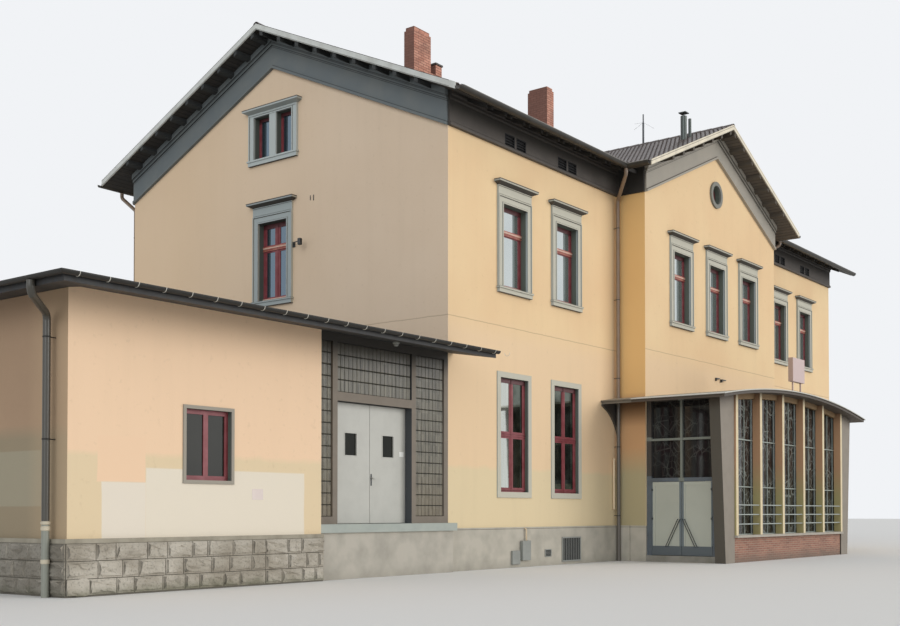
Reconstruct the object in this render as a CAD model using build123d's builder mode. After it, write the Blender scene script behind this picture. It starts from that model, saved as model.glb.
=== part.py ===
from build123d import *
import math
import os

os.makedirs("parts", exist_ok=True)

# Railway station building: a two-storey gabled block with a projecting front bay (the risalit),
# a low annex with a goods dock at its left end and a vaulted glass vestibule at its front.
# Setting-out frame in millimetres: X runs along the street front from the main block's near
# corner, Y runs into the depth from the front wall's face, Z is the height over the ground.

# Main block
MAIN_LENGTH = 25770
MAIN_DEPTH = 11910
WALL = 500
PLINTH_TOP = 1030
PLINTH_PROUD = 60
GROUND_FLOOR_TOP = 1100
FIRST_FLOOR_TOP = 6140
ATTIC_FLOOR_TOP = 10350
FLOOR_SLAB = 260

# Main roof
RIDGE_TOP = 14410
EAVE_TOP = 11340
EAVE_OVERHANG = 720
VERGE_OVERHANG = 676
ROOF_SLAB = 115
VERGE_BOARD = 32
VERGE_BOARD_HEIGHT = 165
VERGE_LIFT = 45
LOOKOUT_WIDTH = 110
LOOKOUT_DEPTH = 120
LOOKOUT_FIRST = 170
LOOKOUT_PITCH = 664
RAFTER_WIDTH = 70
RAFTER_DEPTH = 90
RAFTER_PAIR = 245
RAFTER_PITCH = 815
RAFTER_END = 60

# Risalit, the bay that projects from the front with its own gable
RISALIT_LEFT = 8100
RISALIT_WIDTH = 9560
RISALIT_PROJECTION = 945
RISALIT_RIDGE_TOP = 13725
RISALIT_EAVE_TOP = 11296
RISALIT_EAVE_OVERHANG = 770
RISALIT_VERGE_OVERHANG = 644

# Painted frieze under the eaves and rakes
FRIEZE_FOOT = 10690
FRIEZE_PROUD = 55
FRIEZE_BEAD = 70
FRIEZE_BEAD_PROUD = 95
FRIEZE_CROWN = 150
FRIEZE_CROWN_PROUD = 125
FRIEZE_STEP = 240
FRIEZE_STEP_PROUD = 90
VENT_WIDTH = 390
VENT_GAP = 130
VENT_FOOT = 10790
VENT_HEAD = 11060
VENT_RECESS = 45
VENT_SLAT = 14
VENT_SLATS = 3

# Gutters and downpipes
GUTTER_RADIUS = 100
GUTTER_SHEET = 6
GUTTER_JOINT = 2
ANNEX_GUTTER_RADIUS = 70
DOWNPIPE_RADIUS = 55
DOWNPIPE_CLEARANCE = 25
DOWNPIPE_NECK = 150
DOWNPIPE_COLLAR = 10
DOWNPIPE_BEND = 2.2
ANNEX_PIPE_RADIUS = 65
ANNEX_PIPE_Y = 70
ANNEX_PIPE_NECK_Y = -470
ANNEX_PIPE_DROP = 195
ANNEX_PIPE_FALL = 200

# Upper windows
UPPER_WIDTH = 1090
UPPER_FOOT = 7140
UPPER_HEAD = 9265
UPPER_TRANSOM = 8590
WING_WINDOW_PITCH = 2520
RISALIT_WINDOW_PITCH = 2480
ARCHITRAVE = 205
ARCHITRAVE_PROUD = 50
HOOD_FRIEZE = 245
HOOD_BED = 60
HOOD_CORONA = 55
HOOD_WEATHERING = 20
HOOD_PROUD = 190
HOOD_RETURN = 130
SILL_HEIGHT = 150
SILL_PROUD = 80
SILL_NOSING = 45
SILL_NOSING_PROUD = 105

# Lower windows
LOWER_WIDTH = 1255
LOWER_FOOT = 1930
LOWER_HEAD = 4840
LOWER_TRANSOM = 3395
LOWER_TRIM = 145
LOWER_TRIM_PROUD = 25

# Attic windows, two lights either side of a pillar
ATTIC_LIGHT = 600
ATTIC_PILLAR = 250
ATTIC_FOOT = 11040
ATTIC_HEAD = 12215
ATTIC_HOOD_FRIEZE = 130

# Oculus in the risalit gable
OCULUS_HEIGHT = 11610
OCULUS_RADIUS = 300
OCULUS_RING = 125
OCULUS_RING_PROUD = 60

# Window joinery
UPPER_SETBACK = 160
LOWER_SETBACK = 90
FRAME_DEPTH = 70
FRAME_FACE = 85
MULLION_FACE = 115
GLASS = 8

# Chimneys, flues and mast
CHIMNEY_LEFT_X = 5565
CHIMNEY_LEFT_Y = 5600
CHIMNEY_LEFT_WIDTH = 820
CHIMNEY_LEFT_DEPTH = 400
CHIMNEY_LEFT_TOP = 16380
LOW_STACK_WIDTH = 360
LOW_STACK_TOP = 15150
CHIMNEY_RIGHT_X = 13000
CHIMNEY_RIGHT_Y = 5550
CHIMNEY_RIGHT_WIDTH = 430
CHIMNEY_RIGHT_DEPTH = 830
CHIMNEY_RIGHT_TOP = 16650
CHIMNEY_CROWN = 110
CHIMNEY_CROWN_STEP = 35
FLUE_X = 11570
FLUE_Y = -480
FLUE_RADIUS = 100
FLUE_TOP = 13915
FLUE_CAP = 25
FLUE_CAP_GAP = 90
FLUE_CAP_WIDTH = 250
FLUE_STEM_RADIUS = 25
SMALL_FLUE_RADIUS = 50
SMALL_FLUE_TOP = 13950
FLUE_SPACING = 430
MAST_Y = 1650
MAST_RADIUS = 22
MAST_HEIGHT = 1050

# Annex
ANNEX_LENGTH = 10640
ANNEX_FRONT = -266
ANNEX_DEPTH = 9000
ANNEX_WALL = 450
ANNEX_WALL_TOP = 5200
ANNEX_OVERHANG_LEFT = 758
ANNEX_OVERHANG_FRONT = 996
ANNEX_FASCIA = 190
ANNEX_ROOF_RISE = 0.167
ANNEX_ROOF_PAST_CORNER = 200
ANNEX_FLOOR_TOP = 1160
ANNEX_PLINTH_TOP = 965
ANNEX_PLINTH_PROUD = 60
ANNEX_CAP = 75
ANNEX_CAP_PROUD = 85
ANNEX_WINDOW_X = -7612
ANNEX_WINDOW_WIDTH = 1090
ANNEX_WINDOW_FOOT = 2000
ANNEX_WINDOW_HEAD = 3305
ANNEX_WINDOW_TRIM = 65

# Goods dock with its wall of glass blocks
DOCK_WIDTH = 4616
DOCK_PLINTH_FRONT = -200
DOCK_LEDGE_FRONT = -255
DOCK_LEDGE_END = 35
DOCK_LEDGE = 180
BLOCK_FRAME_DEPTH = 250
BLOCK_RAIL = 160
BLOCK_POST = 150
BLOCK_END_POST = 115
BLOCK_THICKNESS = 80
BLOCK_SETBACK = 50
DOCK_DOOR_LEFT = -3840
DOCK_DOOR_WIDTH = 2480
DOCK_DOOR_HEAD = 3790
DOCK_LINTEL = 190

# Goods doors
DOOR_GAP = 8
MEETING_GAP = 12
FLOOR_GAP = 10
DOCK_LEAF = 60
HINGE_OFFSET = 12
KNUCKLE_RADIUS = 11
KNUCKLE_LENGTH = 60
PIN_RADIUS = 6
HINGE_PLAY = 0.3
HINGE_PLATE = 5
HINGE_WING = 45
HINGE_LAP = 6
HINGE_INSET = 220
LEVER_HEIGHT = 2170
LEVER_SIZE = 22
LEVER_LENGTH = 130
LEVER_INSET = 55
DOCK_PANE_WIDTH = 375
DOCK_PANE_HEIGHT = 480
DOCK_PANE_FOOT = 2650
DOCK_PANE_INSET = 610

# Vestibule
VAULT_APEX = 5070
VAULT_WING = 920
VAULT_RADIUS = 36370
VAULT_SLAB = 110
VAULT_FLANGE = 35
VAULT_REBATE = 40
VAULT_FRONT = -3819
PIER_FRONT = -3444
PIER_DEPTH = 314
PIER_INSET = 500
PIER_FOOT_OUT = 100
PIER_HEAD_OUT = 480
FIN_COUNT = 6
FIN_WIDTH = 150
FIN_PROUD = 50
FIN_DEPTH = 230
HEAD_BEAM = 100
BRICK_TOP = 700
BRICK_SETBACK = 40
SILL = 70
SILL_NOSE = 35
VESTIBULE_FLOOR = 180
GLAZING_BAR = 45
GLAZING_DEPTH = 60
GLAZING_BARS_Z = (1960, 3300)
GLAZING_SPLIT = 0.27
RAIL_RADIUS = 16
RAIL_HEIGHTS = (1080, 1350, 1620)
PASSAGE_WIDTH = 2400
PASSAGE_HEAD = 3600

# Vestibule side screens and entrance doors
SCREEN_SETBACK = 70
SCREEN_DEPTH = 80
SCREEN_POST = 150
ENTRANCE_HEAD = 2285
SCREEN_TRANSOM = 110
SCREEN_BAR = 70
ENTRANCE_LEAF = 50
LEAF_STILE = 105
LEAF_KICK = 260
PANEL_RECESS = 15
PULL_BAR = 18
PULL_SPACING = 70
PULL_STANDOFF = 45
PULL_HEAD = 1225
PULL_REACH = 0.42

# Sign box on the vault, left blank, and the canopy's brackets
SIGN_X = 12620
SIGN_Y = -3685
SIGN_WIDTH = 940
SIGN_HEIGHT = 720
SIGN_THICKNESS = 150
SIGN_POST = 40
SIGN_POST_HEIGHT = 300
BRACKET_DROP = 870
BRACKET_BOW = 130
BRACKET_THICKNESS = 60

# Values that follow from the driving dimensions
RISALIT_RIGHT = RISALIT_LEFT + RISALIT_WIDTH
RISALIT_CENTRE = RISALIT_LEFT + RISALIT_WIDTH / 2
MAIN_MIDDLE = MAIN_DEPTH / 2
MAIN_RISE = (RIDGE_TOP - EAVE_TOP) / (MAIN_MIDDLE + EAVE_OVERHANG)
RISALIT_RISE = (RISALIT_RIDGE_TOP - RISALIT_EAVE_TOP) / (RISALIT_WIDTH / 2 + RISALIT_EAVE_OVERHANG)
ROOF_LEFT = -VERGE_OVERHANG + VERGE_BOARD
ROOF_RIGHT = MAIN_LENGTH + VERGE_OVERHANG - VERGE_BOARD
ANNEX_LEFT = -ANNEX_LENGTH
ANNEX_BACK = ANNEX_FRONT + ANNEX_DEPTH
ANNEX_EDGE_LEFT = ANNEX_LEFT - ANNEX_OVERHANG_LEFT
ANNEX_EDGE_FRONT = ANNEX_FRONT - ANNEX_OVERHANG_FRONT
ANNEX_EDGE_BACK = ANNEX_BACK + ANNEX_OVERHANG_FRONT
DOCK_LEFT = -DOCK_WIDTH
DOCK_DOOR_RIGHT = DOCK_DOOR_LEFT + DOCK_DOOR_WIDTH
PIER_BACK = PIER_FRONT + PIER_DEPTH
PIER_INNER = RISALIT_WIDTH / 2 - PIER_INSET
PIER_OUTER_FOOT = RISALIT_WIDTH / 2 + PIER_FOOT_OUT
PIER_OUTER_HEAD = RISALIT_WIDTH / 2 + PIER_HEAD_OUT
VAULT_HALF = RISALIT_WIDTH / 2 + VAULT_WING
FIN_FRONT = PIER_FRONT - FIN_PROUD
GLAZING_FRONT = FIN_FRONT + FIN_DEPTH
FIN_PITCH = (2 * PIER_INNER - FIN_WIDTH) / (FIN_COUNT - 1)
SILL_TOP = BRICK_TOP + SILL
VAULT_SPRING = VAULT_APEX - VAULT_RADIUS + math.sqrt(VAULT_RADIUS**2 - VAULT_HALF**2)
RISALIT_FRONT = -RISALIT_PROJECTION

# The building's origin is the middle of its outline on the ground
OUTLINE_LEFT = ANNEX_EDGE_LEFT - 2 * ANNEX_GUTTER_RADIUS
OUTLINE_RIGHT = MAIN_LENGTH + VERGE_OVERHANG
OUTLINE_FRONT = VAULT_FRONT
OUTLINE_BACK = MAIN_DEPTH + EAVE_OVERHANG + 2 * GUTTER_RADIUS
TO_ORIGIN = Pos(-(OUTLINE_LEFT + OUTLINE_RIGHT) / 2, -(OUTLINE_FRONT + OUTLINE_BACK) / 2, 0)

# Wall faces as drawing planes, each with its own middle as datum and its normal outwards
WING_LEFT = Plane(origin=(RISALIT_LEFT / 2, 0, 0), x_dir=(1, 0, 0), z_dir=(0, -1, 0))
WING_RIGHT = Plane(
    origin=((RISALIT_RIGHT + MAIN_LENGTH) / 2, 0, 0), x_dir=(1, 0, 0), z_dir=(0, -1, 0)
)
RISALIT_FACE = Plane(
    origin=(RISALIT_CENTRE, RISALIT_FRONT, 0), x_dir=(1, 0, 0), z_dir=(0, -1, 0)
)
GABLE_LEFT = Plane(origin=(0, MAIN_MIDDLE, 0), x_dir=(0, -1, 0), z_dir=(-1, 0, 0))
GABLE_RIGHT = Plane(origin=(MAIN_LENGTH, MAIN_MIDDLE, 0), x_dir=(0, 1, 0), z_dir=(1, 0, 0))
BACK_LEFT = Plane(
    origin=(RISALIT_LEFT / 2, MAIN_DEPTH, 0), x_dir=(-1, 0, 0), z_dir=(0, 1, 0)
)
BACK_MIDDLE = Plane(origin=(RISALIT_CENTRE, MAIN_DEPTH, 0), x_dir=(-1, 0, 0), z_dir=(0, 1, 0))
BACK_RIGHT = Plane(
    origin=((RISALIT_RIGHT + MAIN_LENGTH) / 2, MAIN_DEPTH, 0), x_dir=(-1, 0, 0), z_dir=(0, 1, 0)
)
ANNEX_FACE = Plane(
    origin=(ANNEX_WINDOW_X, ANNEX_FRONT, 0), x_dir=(1, 0, 0), z_dir=(0, -1, 0)
)

PAIR = (-WING_WINDOW_PITCH / 2, WING_WINDOW_PITCH / 2)
TRIO = (-RISALIT_WINDOW_PITCH, 0, RISALIT_WINDOW_PITCH)
UPPER_PLACES = {
    "wing_left": (WING_LEFT, PAIR),
    "risalit": (RISALIT_FACE, TRIO),
    "wing_right": (WING_RIGHT, PAIR),
    "gable_left": (GABLE_LEFT, (0,)),
    "gable_right": (GABLE_RIGHT, (0,)),
    "back_left": (BACK_LEFT, PAIR),
    "back_middle": (BACK_MIDDLE, TRIO),
    "back_right": (BACK_RIGHT, PAIR),
}
LOWER_PLACES = {
    "wing_left": (WING_LEFT, PAIR),
    "wing_right": (WING_RIGHT, PAIR),
    "gable_right": (GABLE_RIGHT, (0,)),
    "back_left": (BACK_LEFT, PAIR),
    "back_middle": (BACK_MIDDLE, TRIO),
    "back_right": (BACK_RIGHT, PAIR),
}


def save(piece, name):
    """Label a finished piece, move it to the building's origin and write its file."""
    placed = TO_ORIGIN * piece.part
    placed.label = name
    export_step(placed, f"parts/{name}.step")


def block(x_range, y_range, z_range, mode=Mode.ADD):
    """Add or cut a square-edged block between two corners in the open part."""
    middles = [(low + high) / 2 for low, high in (x_range, y_range, z_range)]
    sizes = [high - low for low, high in (x_range, y_range, z_range)]
    with Locations(tuple(middles)):
        Box(*sizes, mode=mode)


def between(one, other):
    """Put two limits in rising order."""
    return (min(one, other), max(one, other))


def panel(u_range, z_range, mode=Mode.ADD):
    """Draw a rectangle on an elevation from its left, right, foot and top."""
    with Locations(((u_range[0] + u_range[1]) / 2, (z_range[0] + z_range[1]) / 2)):
        Rectangle(u_range[1] - u_range[0], z_range[1] - z_range[0], mode=mode)


def light(middle, width, foot, head, mode=Mode.ADD):
    """Draw one window opening on an elevation about its middle line."""
    panel((middle - width / 2, middle + width / 2), (foot, head), mode)


def main_roof_top(y):
    """Height of the main roof's surface over a point in the depth."""
    return RIDGE_TOP - MAIN_RISE * abs(y - MAIN_MIDDLE)


def risalit_roof_top(x):
    """Height of the risalit roof's surface over a point along the front."""
    return RISALIT_RIDGE_TOP - RISALIT_RISE * abs(x - RISALIT_CENTRE)


def vault_height(x):
    """Height of the vault's upper face over a point along the front."""
    across = x - RISALIT_CENTRE
    return VAULT_APEX - VAULT_RADIUS + math.sqrt(VAULT_RADIUS**2 - across**2)


# Solids under the three roofs, used to trim the walls and to seat what stands on the tiles
EAVE_LINE = (-EAVE_OVERHANG, MAIN_DEPTH + EAVE_OVERHANG)


def under_main_roof(drop):
    """Draw the main block's section up to a line that lies below its roof surface."""
    Polygon(
        (EAVE_LINE[0], 0),
        (EAVE_LINE[1], 0),
        (EAVE_LINE[1], EAVE_TOP - drop),
        (MAIN_MIDDLE, RIDGE_TOP - drop),
        (EAVE_LINE[0], EAVE_TOP - drop),
        align=None,
    )


with BuildPart() as main_under_roof:
    with BuildSketch(Plane.YZ.offset(ROOF_LEFT)):
        under_main_roof(ROOF_SLAB)
    extrude(amount=ROOF_RIGHT - ROOF_LEFT)

with BuildPart() as main_roof_hull:
    with BuildSketch(Plane.YZ.offset(ROOF_LEFT)):
        under_main_roof(0)
    extrude(amount=ROOF_RIGHT - ROOF_LEFT)
    block((RISALIT_LEFT, RISALIT_RIGHT), (EAVE_LINE[0], 0), (0, RIDGE_TOP), Mode.SUBTRACT)

RISALIT_EAVES = (RISALIT_LEFT - RISALIT_EAVE_OVERHANG, RISALIT_RIGHT + RISALIT_EAVE_OVERHANG)
RISALIT_VERGE = RISALIT_FRONT - RISALIT_VERGE_OVERHANG + VERGE_BOARD

with BuildPart() as risalit_under_roof:
    with BuildSketch(Plane.XZ.offset(-RISALIT_VERGE)):
        with BuildLine():
            Polyline(
                (RISALIT_EAVES[0], 0),
                (RISALIT_EAVES[1], 0),
                (RISALIT_EAVES[1], RISALIT_EAVE_TOP - ROOF_SLAB),
                (RISALIT_CENTRE, RISALIT_RIDGE_TOP - ROOF_SLAB),
                (RISALIT_EAVES[0], RISALIT_EAVE_TOP - ROOF_SLAB),
                close=True,
            )
        make_face()
    extrude(amount=-(MAIN_MIDDLE - RISALIT_VERGE))


def annex_section(lift):
    """Raise the annex's hipped volume in the open part, its edges at the given height."""
    middle = (ANNEX_EDGE_FRONT + ANNEX_EDGE_BACK) / 2
    ridge = lift + ANNEX_ROOF_RISE * (ANNEX_EDGE_BACK - ANNEX_EDGE_FRONT) / 2
    with BuildSketch(Plane.YZ.offset(ANNEX_EDGE_LEFT)) as section:
        Polygon(
            (ANNEX_EDGE_FRONT, 0),
            (ANNEX_EDGE_BACK, 0),
            (ANNEX_EDGE_BACK, lift),
            (middle, ridge),
            (ANNEX_EDGE_FRONT, lift),
            align=None,
        )
    extrude(section.sketch, amount=ANNEX_ROOF_PAST_CORNER - ANNEX_EDGE_LEFT)
    hip = Plane(
        origin=(ANNEX_EDGE_LEFT, 0, lift),
        x_dir=(0, -1, 0),
        z_dir=(-ANNEX_ROOF_RISE, 0, 1),
    )
    split(bisect_by=hip, keep=Keep.BOTTOM)


with BuildPart() as annex_under_roof:
    annex_section(ANNEX_WALL_TOP - ANNEX_FASCIA)

# Roofs
with BuildPart() as roof_front:
    with BuildSketch(Plane.YZ.offset(ROOF_LEFT)):
        with BuildLine():
            Polyline(
                (EAVE_LINE[0], EAVE_TOP),
                (EAVE_LINE[0], EAVE_TOP - ROOF_SLAB),
                (MAIN_MIDDLE, RIDGE_TOP - ROOF_SLAB),
                (MAIN_MIDDLE, RIDGE_TOP),
                close=True,
            )
        make_face()
    extrude(amount=ROOF_RIGHT - ROOF_LEFT)
    block((RISALIT_LEFT, RISALIT_RIGHT), (EAVE_LINE[0], 0), (0, RIDGE_TOP), Mode.SUBTRACT)
save(roof_front, "roof_front")

with BuildPart() as roof_back:
    with BuildSketch(Plane.YZ.offset(ROOF_LEFT)):
        with BuildLine():
            Polyline(
                (EAVE_LINE[1], EAVE_TOP),
                (EAVE_LINE[1], EAVE_TOP - ROOF_SLAB),
                (MAIN_MIDDLE, RIDGE_TOP - ROOF_SLAB),
                (MAIN_MIDDLE, RIDGE_TOP),
                close=True,
            )
        make_face()
    extrude(amount=ROOF_RIGHT - ROOF_LEFT)
save(roof_back, "roof_back")

for side, eave in (("left", RISALIT_EAVES[0]), ("right", RISALIT_EAVES[1])):
    with BuildPart() as risalit_slope:
        with BuildSketch(Plane.XZ.offset(-RISALIT_VERGE)):
            with BuildLine():
                Polyline(
                    (eave, RISALIT_EAVE_TOP),
                    (eave, RISALIT_EAVE_TOP - ROOF_SLAB),
                    (RISALIT_CENTRE, RISALIT_RIDGE_TOP - ROOF_SLAB),
                    (RISALIT_CENTRE, RISALIT_RIDGE_TOP),
                    close=True,
                )
            make_face()
        extrude(amount=-(MAIN_MIDDLE - RISALIT_VERGE))
        add(main_roof_hull.part, mode=Mode.SUBTRACT)
    save(risalit_slope, f"risalit_roof_{side}")

with BuildPart() as annex_roof:
    annex_section(ANNEX_WALL_TOP)
    add(annex_under_roof.part, mode=Mode.SUBTRACT)
    block((0, ANNEX_ROOF_PAST_CORNER), (0, ANNEX_EDGE_BACK), (0, RIDGE_TOP), Mode.SUBTRACT)
save(annex_roof, "annex_roof")

# Verge boards on the three gables
VERGE_DROP = VERGE_BOARD_HEIGHT - VERGE_LIFT

with BuildPart() as verge_boards:
    for end, thickness in ((ROOF_LEFT, -VERGE_BOARD), (ROOF_RIGHT, VERGE_BOARD)):
        with BuildSketch(Plane.YZ.offset(end)):
            with BuildLine():
                Polyline(
                    (EAVE_LINE[0], EAVE_TOP + VERGE_LIFT),
                    (MAIN_MIDDLE, RIDGE_TOP + VERGE_LIFT),
                    (EAVE_LINE[1], EAVE_TOP + VERGE_LIFT),
                    (EAVE_LINE[1], EAVE_TOP - VERGE_DROP),
                    (MAIN_MIDDLE, RIDGE_TOP - VERGE_DROP),
                    (EAVE_LINE[0], EAVE_TOP - VERGE_DROP),
                    close=True,
                )
            make_face()
        extrude(amount=thickness)
    with BuildSketch(Plane.XZ.offset(-RISALIT_VERGE)):
        with BuildLine():
            Polyline(
                (RISALIT_EAVES[0], RISALIT_EAVE_TOP + VERGE_LIFT),
                (RISALIT_CENTRE, RISALIT_RIDGE_TOP + VERGE_LIFT),
                (RISALIT_EAVES[1], RISALIT_EAVE_TOP + VERGE_LIFT),
                (RISALIT_EAVES[1], RISALIT_EAVE_TOP - VERGE_DROP),
                (RISALIT_CENTRE, RISALIT_RIDGE_TOP - VERGE_DROP),
                (RISALIT_EAVES[0], RISALIT_EAVE_TOP - VERGE_DROP),
                close=True,
            )
        make_face()
    extrude(amount=VERGE_BOARD)
save(verge_boards, "verge_boards")


# Walls
def cut_lights(faces, depth):
    """Cut window openings through the open part, each face a plane and its rectangles."""
    for plane, rectangles in faces:
        with BuildSketch(plane) as lights:
            for middle, width, foot, head in rectangles:
                light(middle, width, foot, head)
        extrude(lights.sketch, amount=-depth, mode=Mode.SUBTRACT)


def storey_lights(place):
    """The upper and lower openings of one wall face as plane and rectangles."""
    plane, middles = UPPER_PLACES[place]
    rectangles = [(u, UPPER_WIDTH, UPPER_FOOT, UPPER_HEAD) for u in middles]
    if place in LOWER_PLACES:
        rectangles += [(u, LOWER_WIDTH, LOWER_FOOT, LOWER_HEAD) for u in LOWER_PLACES[place][1]]
    return plane, rectangles


ATTIC_MIDDLES = (-(ATTIC_PILLAR + ATTIC_LIGHT) / 2, (ATTIC_PILLAR + ATTIC_LIGHT) / 2)
ATTIC_LIGHTS = [(u, ATTIC_LIGHT, ATTIC_FOOT, ATTIC_HEAD) for u in ATTIC_MIDDLES]

with BuildPart() as wing_front_walls:
    block((WALL, RISALIT_LEFT), (0, WALL), (PLINTH_TOP, RIDGE_TOP))
    block((RISALIT_RIGHT, MAIN_LENGTH - WALL), (0, WALL), (PLINTH_TOP, RIDGE_TOP))
    add(main_under_roof.part, mode=Mode.INTERSECT)
    cut_lights([storey_lights("wing_left"), storey_lights("wing_right")], WALL)
save(wing_front_walls, "wing_front_walls")

with BuildPart() as back_wall:
    block((WALL, MAIN_LENGTH - WALL), (MAIN_DEPTH - WALL, MAIN_DEPTH), (PLINTH_TOP, RIDGE_TOP))
    add(main_under_roof.part, mode=Mode.INTERSECT)
    cut_lights([storey_lights(f"back_{part}") for part in ("left", "middle", "right")], WALL)
save(back_wall, "back_wall")

for side, start in (("left", 0), ("right", MAIN_LENGTH - WALL)):
    with BuildPart() as gable_wall:
        block((start, start + WALL), (0, MAIN_DEPTH), (PLINTH_TOP, RIDGE_TOP))
        add(main_under_roof.part, mode=Mode.INTERSECT)
        plane, rectangles = storey_lights(f"gable_{side}")
        cut_lights([(plane, rectangles + ATTIC_LIGHTS)], WALL)
    save(gable_wall, f"gable_wall_{side}")

with BuildPart() as risalit_front_wall:
    block(
        (RISALIT_LEFT, RISALIT_RIGHT),
        (RISALIT_FRONT, RISALIT_FRONT + WALL),
        (PASSAGE_HEAD, RIDGE_TOP),
    )
    add(risalit_under_roof.part, mode=Mode.INTERSECT)
    cut_lights([storey_lights("risalit")], WALL)
    with BuildSketch(RISALIT_FACE):
        with Locations((0, OCULUS_HEIGHT)):
            Circle(OCULUS_RADIUS)
    extrude(amount=-WALL, mode=Mode.SUBTRACT)
save(risalit_front_wall, "risalit_front_wall")

PASSAGE = (RISALIT_CENTRE - PASSAGE_WIDTH / 2, RISALIT_CENTRE + PASSAGE_WIDTH / 2)
with BuildPart() as risalit_front_piers:
    for pier in ((RISALIT_LEFT, PASSAGE[0]), (PASSAGE[1], RISALIT_RIGHT)):
        block(pier, (RISALIT_FRONT, RISALIT_FRONT + WALL), (PLINTH_TOP, PASSAGE_HEAD))
save(risalit_front_piers, "risalit_front_piers")

with BuildPart() as risalit_side_walls:
    for start in (RISALIT_LEFT, RISALIT_RIGHT - WALL):
        block((start, start + WALL), (RISALIT_FRONT + WALL, 0), (PLINTH_TOP, RIDGE_TOP))
    add(risalit_under_roof.part, mode=Mode.INTERSECT)
    for start in (RISALIT_LEFT, RISALIT_RIGHT - WALL):
        wall_top = main_roof_top(0) - ROOF_SLAB
        block((start, start + WALL), (0, WALL), (PLINTH_TOP, wall_top))
save(risalit_side_walls, "risalit_side_walls")

# Plinths
with BuildPart() as plinth_long_sides:
    for wing in (
        (-PLINTH_PROUD, RISALIT_LEFT - PLINTH_PROUD),
        (RISALIT_RIGHT + PLINTH_PROUD, MAIN_LENGTH + PLINTH_PROUD),
    ):
        block(wing, (-PLINTH_PROUD, WALL), (0, PLINTH_TOP))
    block(
        (-PLINTH_PROUD, MAIN_LENGTH + PLINTH_PROUD),
        (MAIN_DEPTH - WALL, MAIN_DEPTH + PLINTH_PROUD),
        (0, PLINTH_TOP),
    )
    block(
        (RISALIT_LEFT, RISALIT_RIGHT),
        (RISALIT_FRONT, RISALIT_FRONT + WALL),
        (0, PLINTH_TOP),
    )
save(plinth_long_sides, "plinth_long_sides")

with BuildPart() as plinth_cross_sides:
    for outer, inner in ((-PLINTH_PROUD, WALL), (MAIN_LENGTH + PLINTH_PROUD, MAIN_LENGTH - WALL)):
        block(between(outer, inner), (WALL, MAIN_DEPTH - WALL), (0, PLINTH_TOP))
    for outer, inner in (
        (RISALIT_LEFT - PLINTH_PROUD, RISALIT_LEFT + WALL),
        (RISALIT_RIGHT + PLINTH_PROUD, RISALIT_RIGHT - WALL),
    ):
        block(between(outer, inner), (RISALIT_FRONT + WALL, WALL), (0, PLINTH_TOP))
save(plinth_cross_sides, "plinth_cross_sides")


# Floors, each one slab over the main block and the risalit
def floor_slab(top):
    """Lay one storey's slab inside the walls, with a tongue into the risalit."""
    block((WALL, MAIN_LENGTH - WALL), (WALL, MAIN_DEPTH - WALL), (top - FLOOR_SLAB, top))
    block(
        (RISALIT_LEFT + WALL, RISALIT_RIGHT - WALL),
        (RISALIT_FRONT + WALL, WALL),
        (top - FLOOR_SLAB, top),
    )


for name, top in (
    ("ground_floor", GROUND_FLOOR_TOP),
    ("first_floor", FIRST_FLOOR_TOP),
    ("attic_floor", ATTIC_FLOOR_TOP),
):
    with BuildPart() as storey_floor:
        floor_slab(top)
    save(storey_floor, name)

# Friezes: flat band with a bead at its foot, a stepped crown and the timbers under the soffit
SOFFIT_AT_WALL = main_roof_top(0) - ROOF_SLAB


def eaves_frieze_profile(face, out):
    """Section of the eaves band on a long wall, drawn from its face in the given direction."""
    crown_foot = SOFFIT_AT_WALL - FRIEZE_CROWN
    step_foot = SOFFIT_AT_WALL - FRIEZE_STEP
    bead_top = FRIEZE_FOOT + FRIEZE_BEAD
    Polygon(
        (face, FRIEZE_FOOT),
        (face + out * FRIEZE_BEAD_PROUD, FRIEZE_FOOT),
        (face + out * FRIEZE_BEAD_PROUD, bead_top),
        (face + out * FRIEZE_PROUD, bead_top + FRIEZE_BEAD_PROUD - FRIEZE_PROUD),
        (face + out * FRIEZE_PROUD, step_foot),
        (face + out * FRIEZE_STEP_PROUD, step_foot + FRIEZE_STEP_PROUD - FRIEZE_PROUD),
        (face + out * FRIEZE_STEP_PROUD, crown_foot),
        (face + out * FRIEZE_CROWN_PROUD, crown_foot + FRIEZE_CROWN_PROUD - FRIEZE_STEP_PROUD),
        (face + out * FRIEZE_CROWN_PROUD, SOFFIT_AT_WALL - MAIN_RISE * FRIEZE_CROWN_PROUD),
        (face, SOFFIT_AT_WALL),
        align=None,
    )


def rafter_profile(face, out):
    """Side of one rafter tail, from the crown of the eaves band to near the gutter."""
    near = FRIEZE_PROUD
    far = EAVE_OVERHANG - RAFTER_END
    Polygon(
        (face + out * near, SOFFIT_AT_WALL - MAIN_RISE * near),
        (face + out * far, SOFFIT_AT_WALL - MAIN_RISE * far),
        (face + out * far, SOFFIT_AT_WALL - MAIN_RISE * far - RAFTER_DEPTH),
        (face + out * near, SOFFIT_AT_WALL - MAIN_RISE * near - RAFTER_DEPTH),
        align=None,
    )


def rafter_starts(run):
    """Left sides of the paired rafter tails along one run of the eaves."""
    pairs = math.floor((run[1] - run[0]) / RAFTER_PITCH)
    first = (run[0] + run[1] - (pairs - 1) * RAFTER_PITCH - RAFTER_PAIR - RAFTER_WIDTH) / 2
    firsts = [first + pair * RAFTER_PITCH for pair in range(pairs)]
    return [start + step for start in firsts for step in (0, RAFTER_PAIR)]


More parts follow.
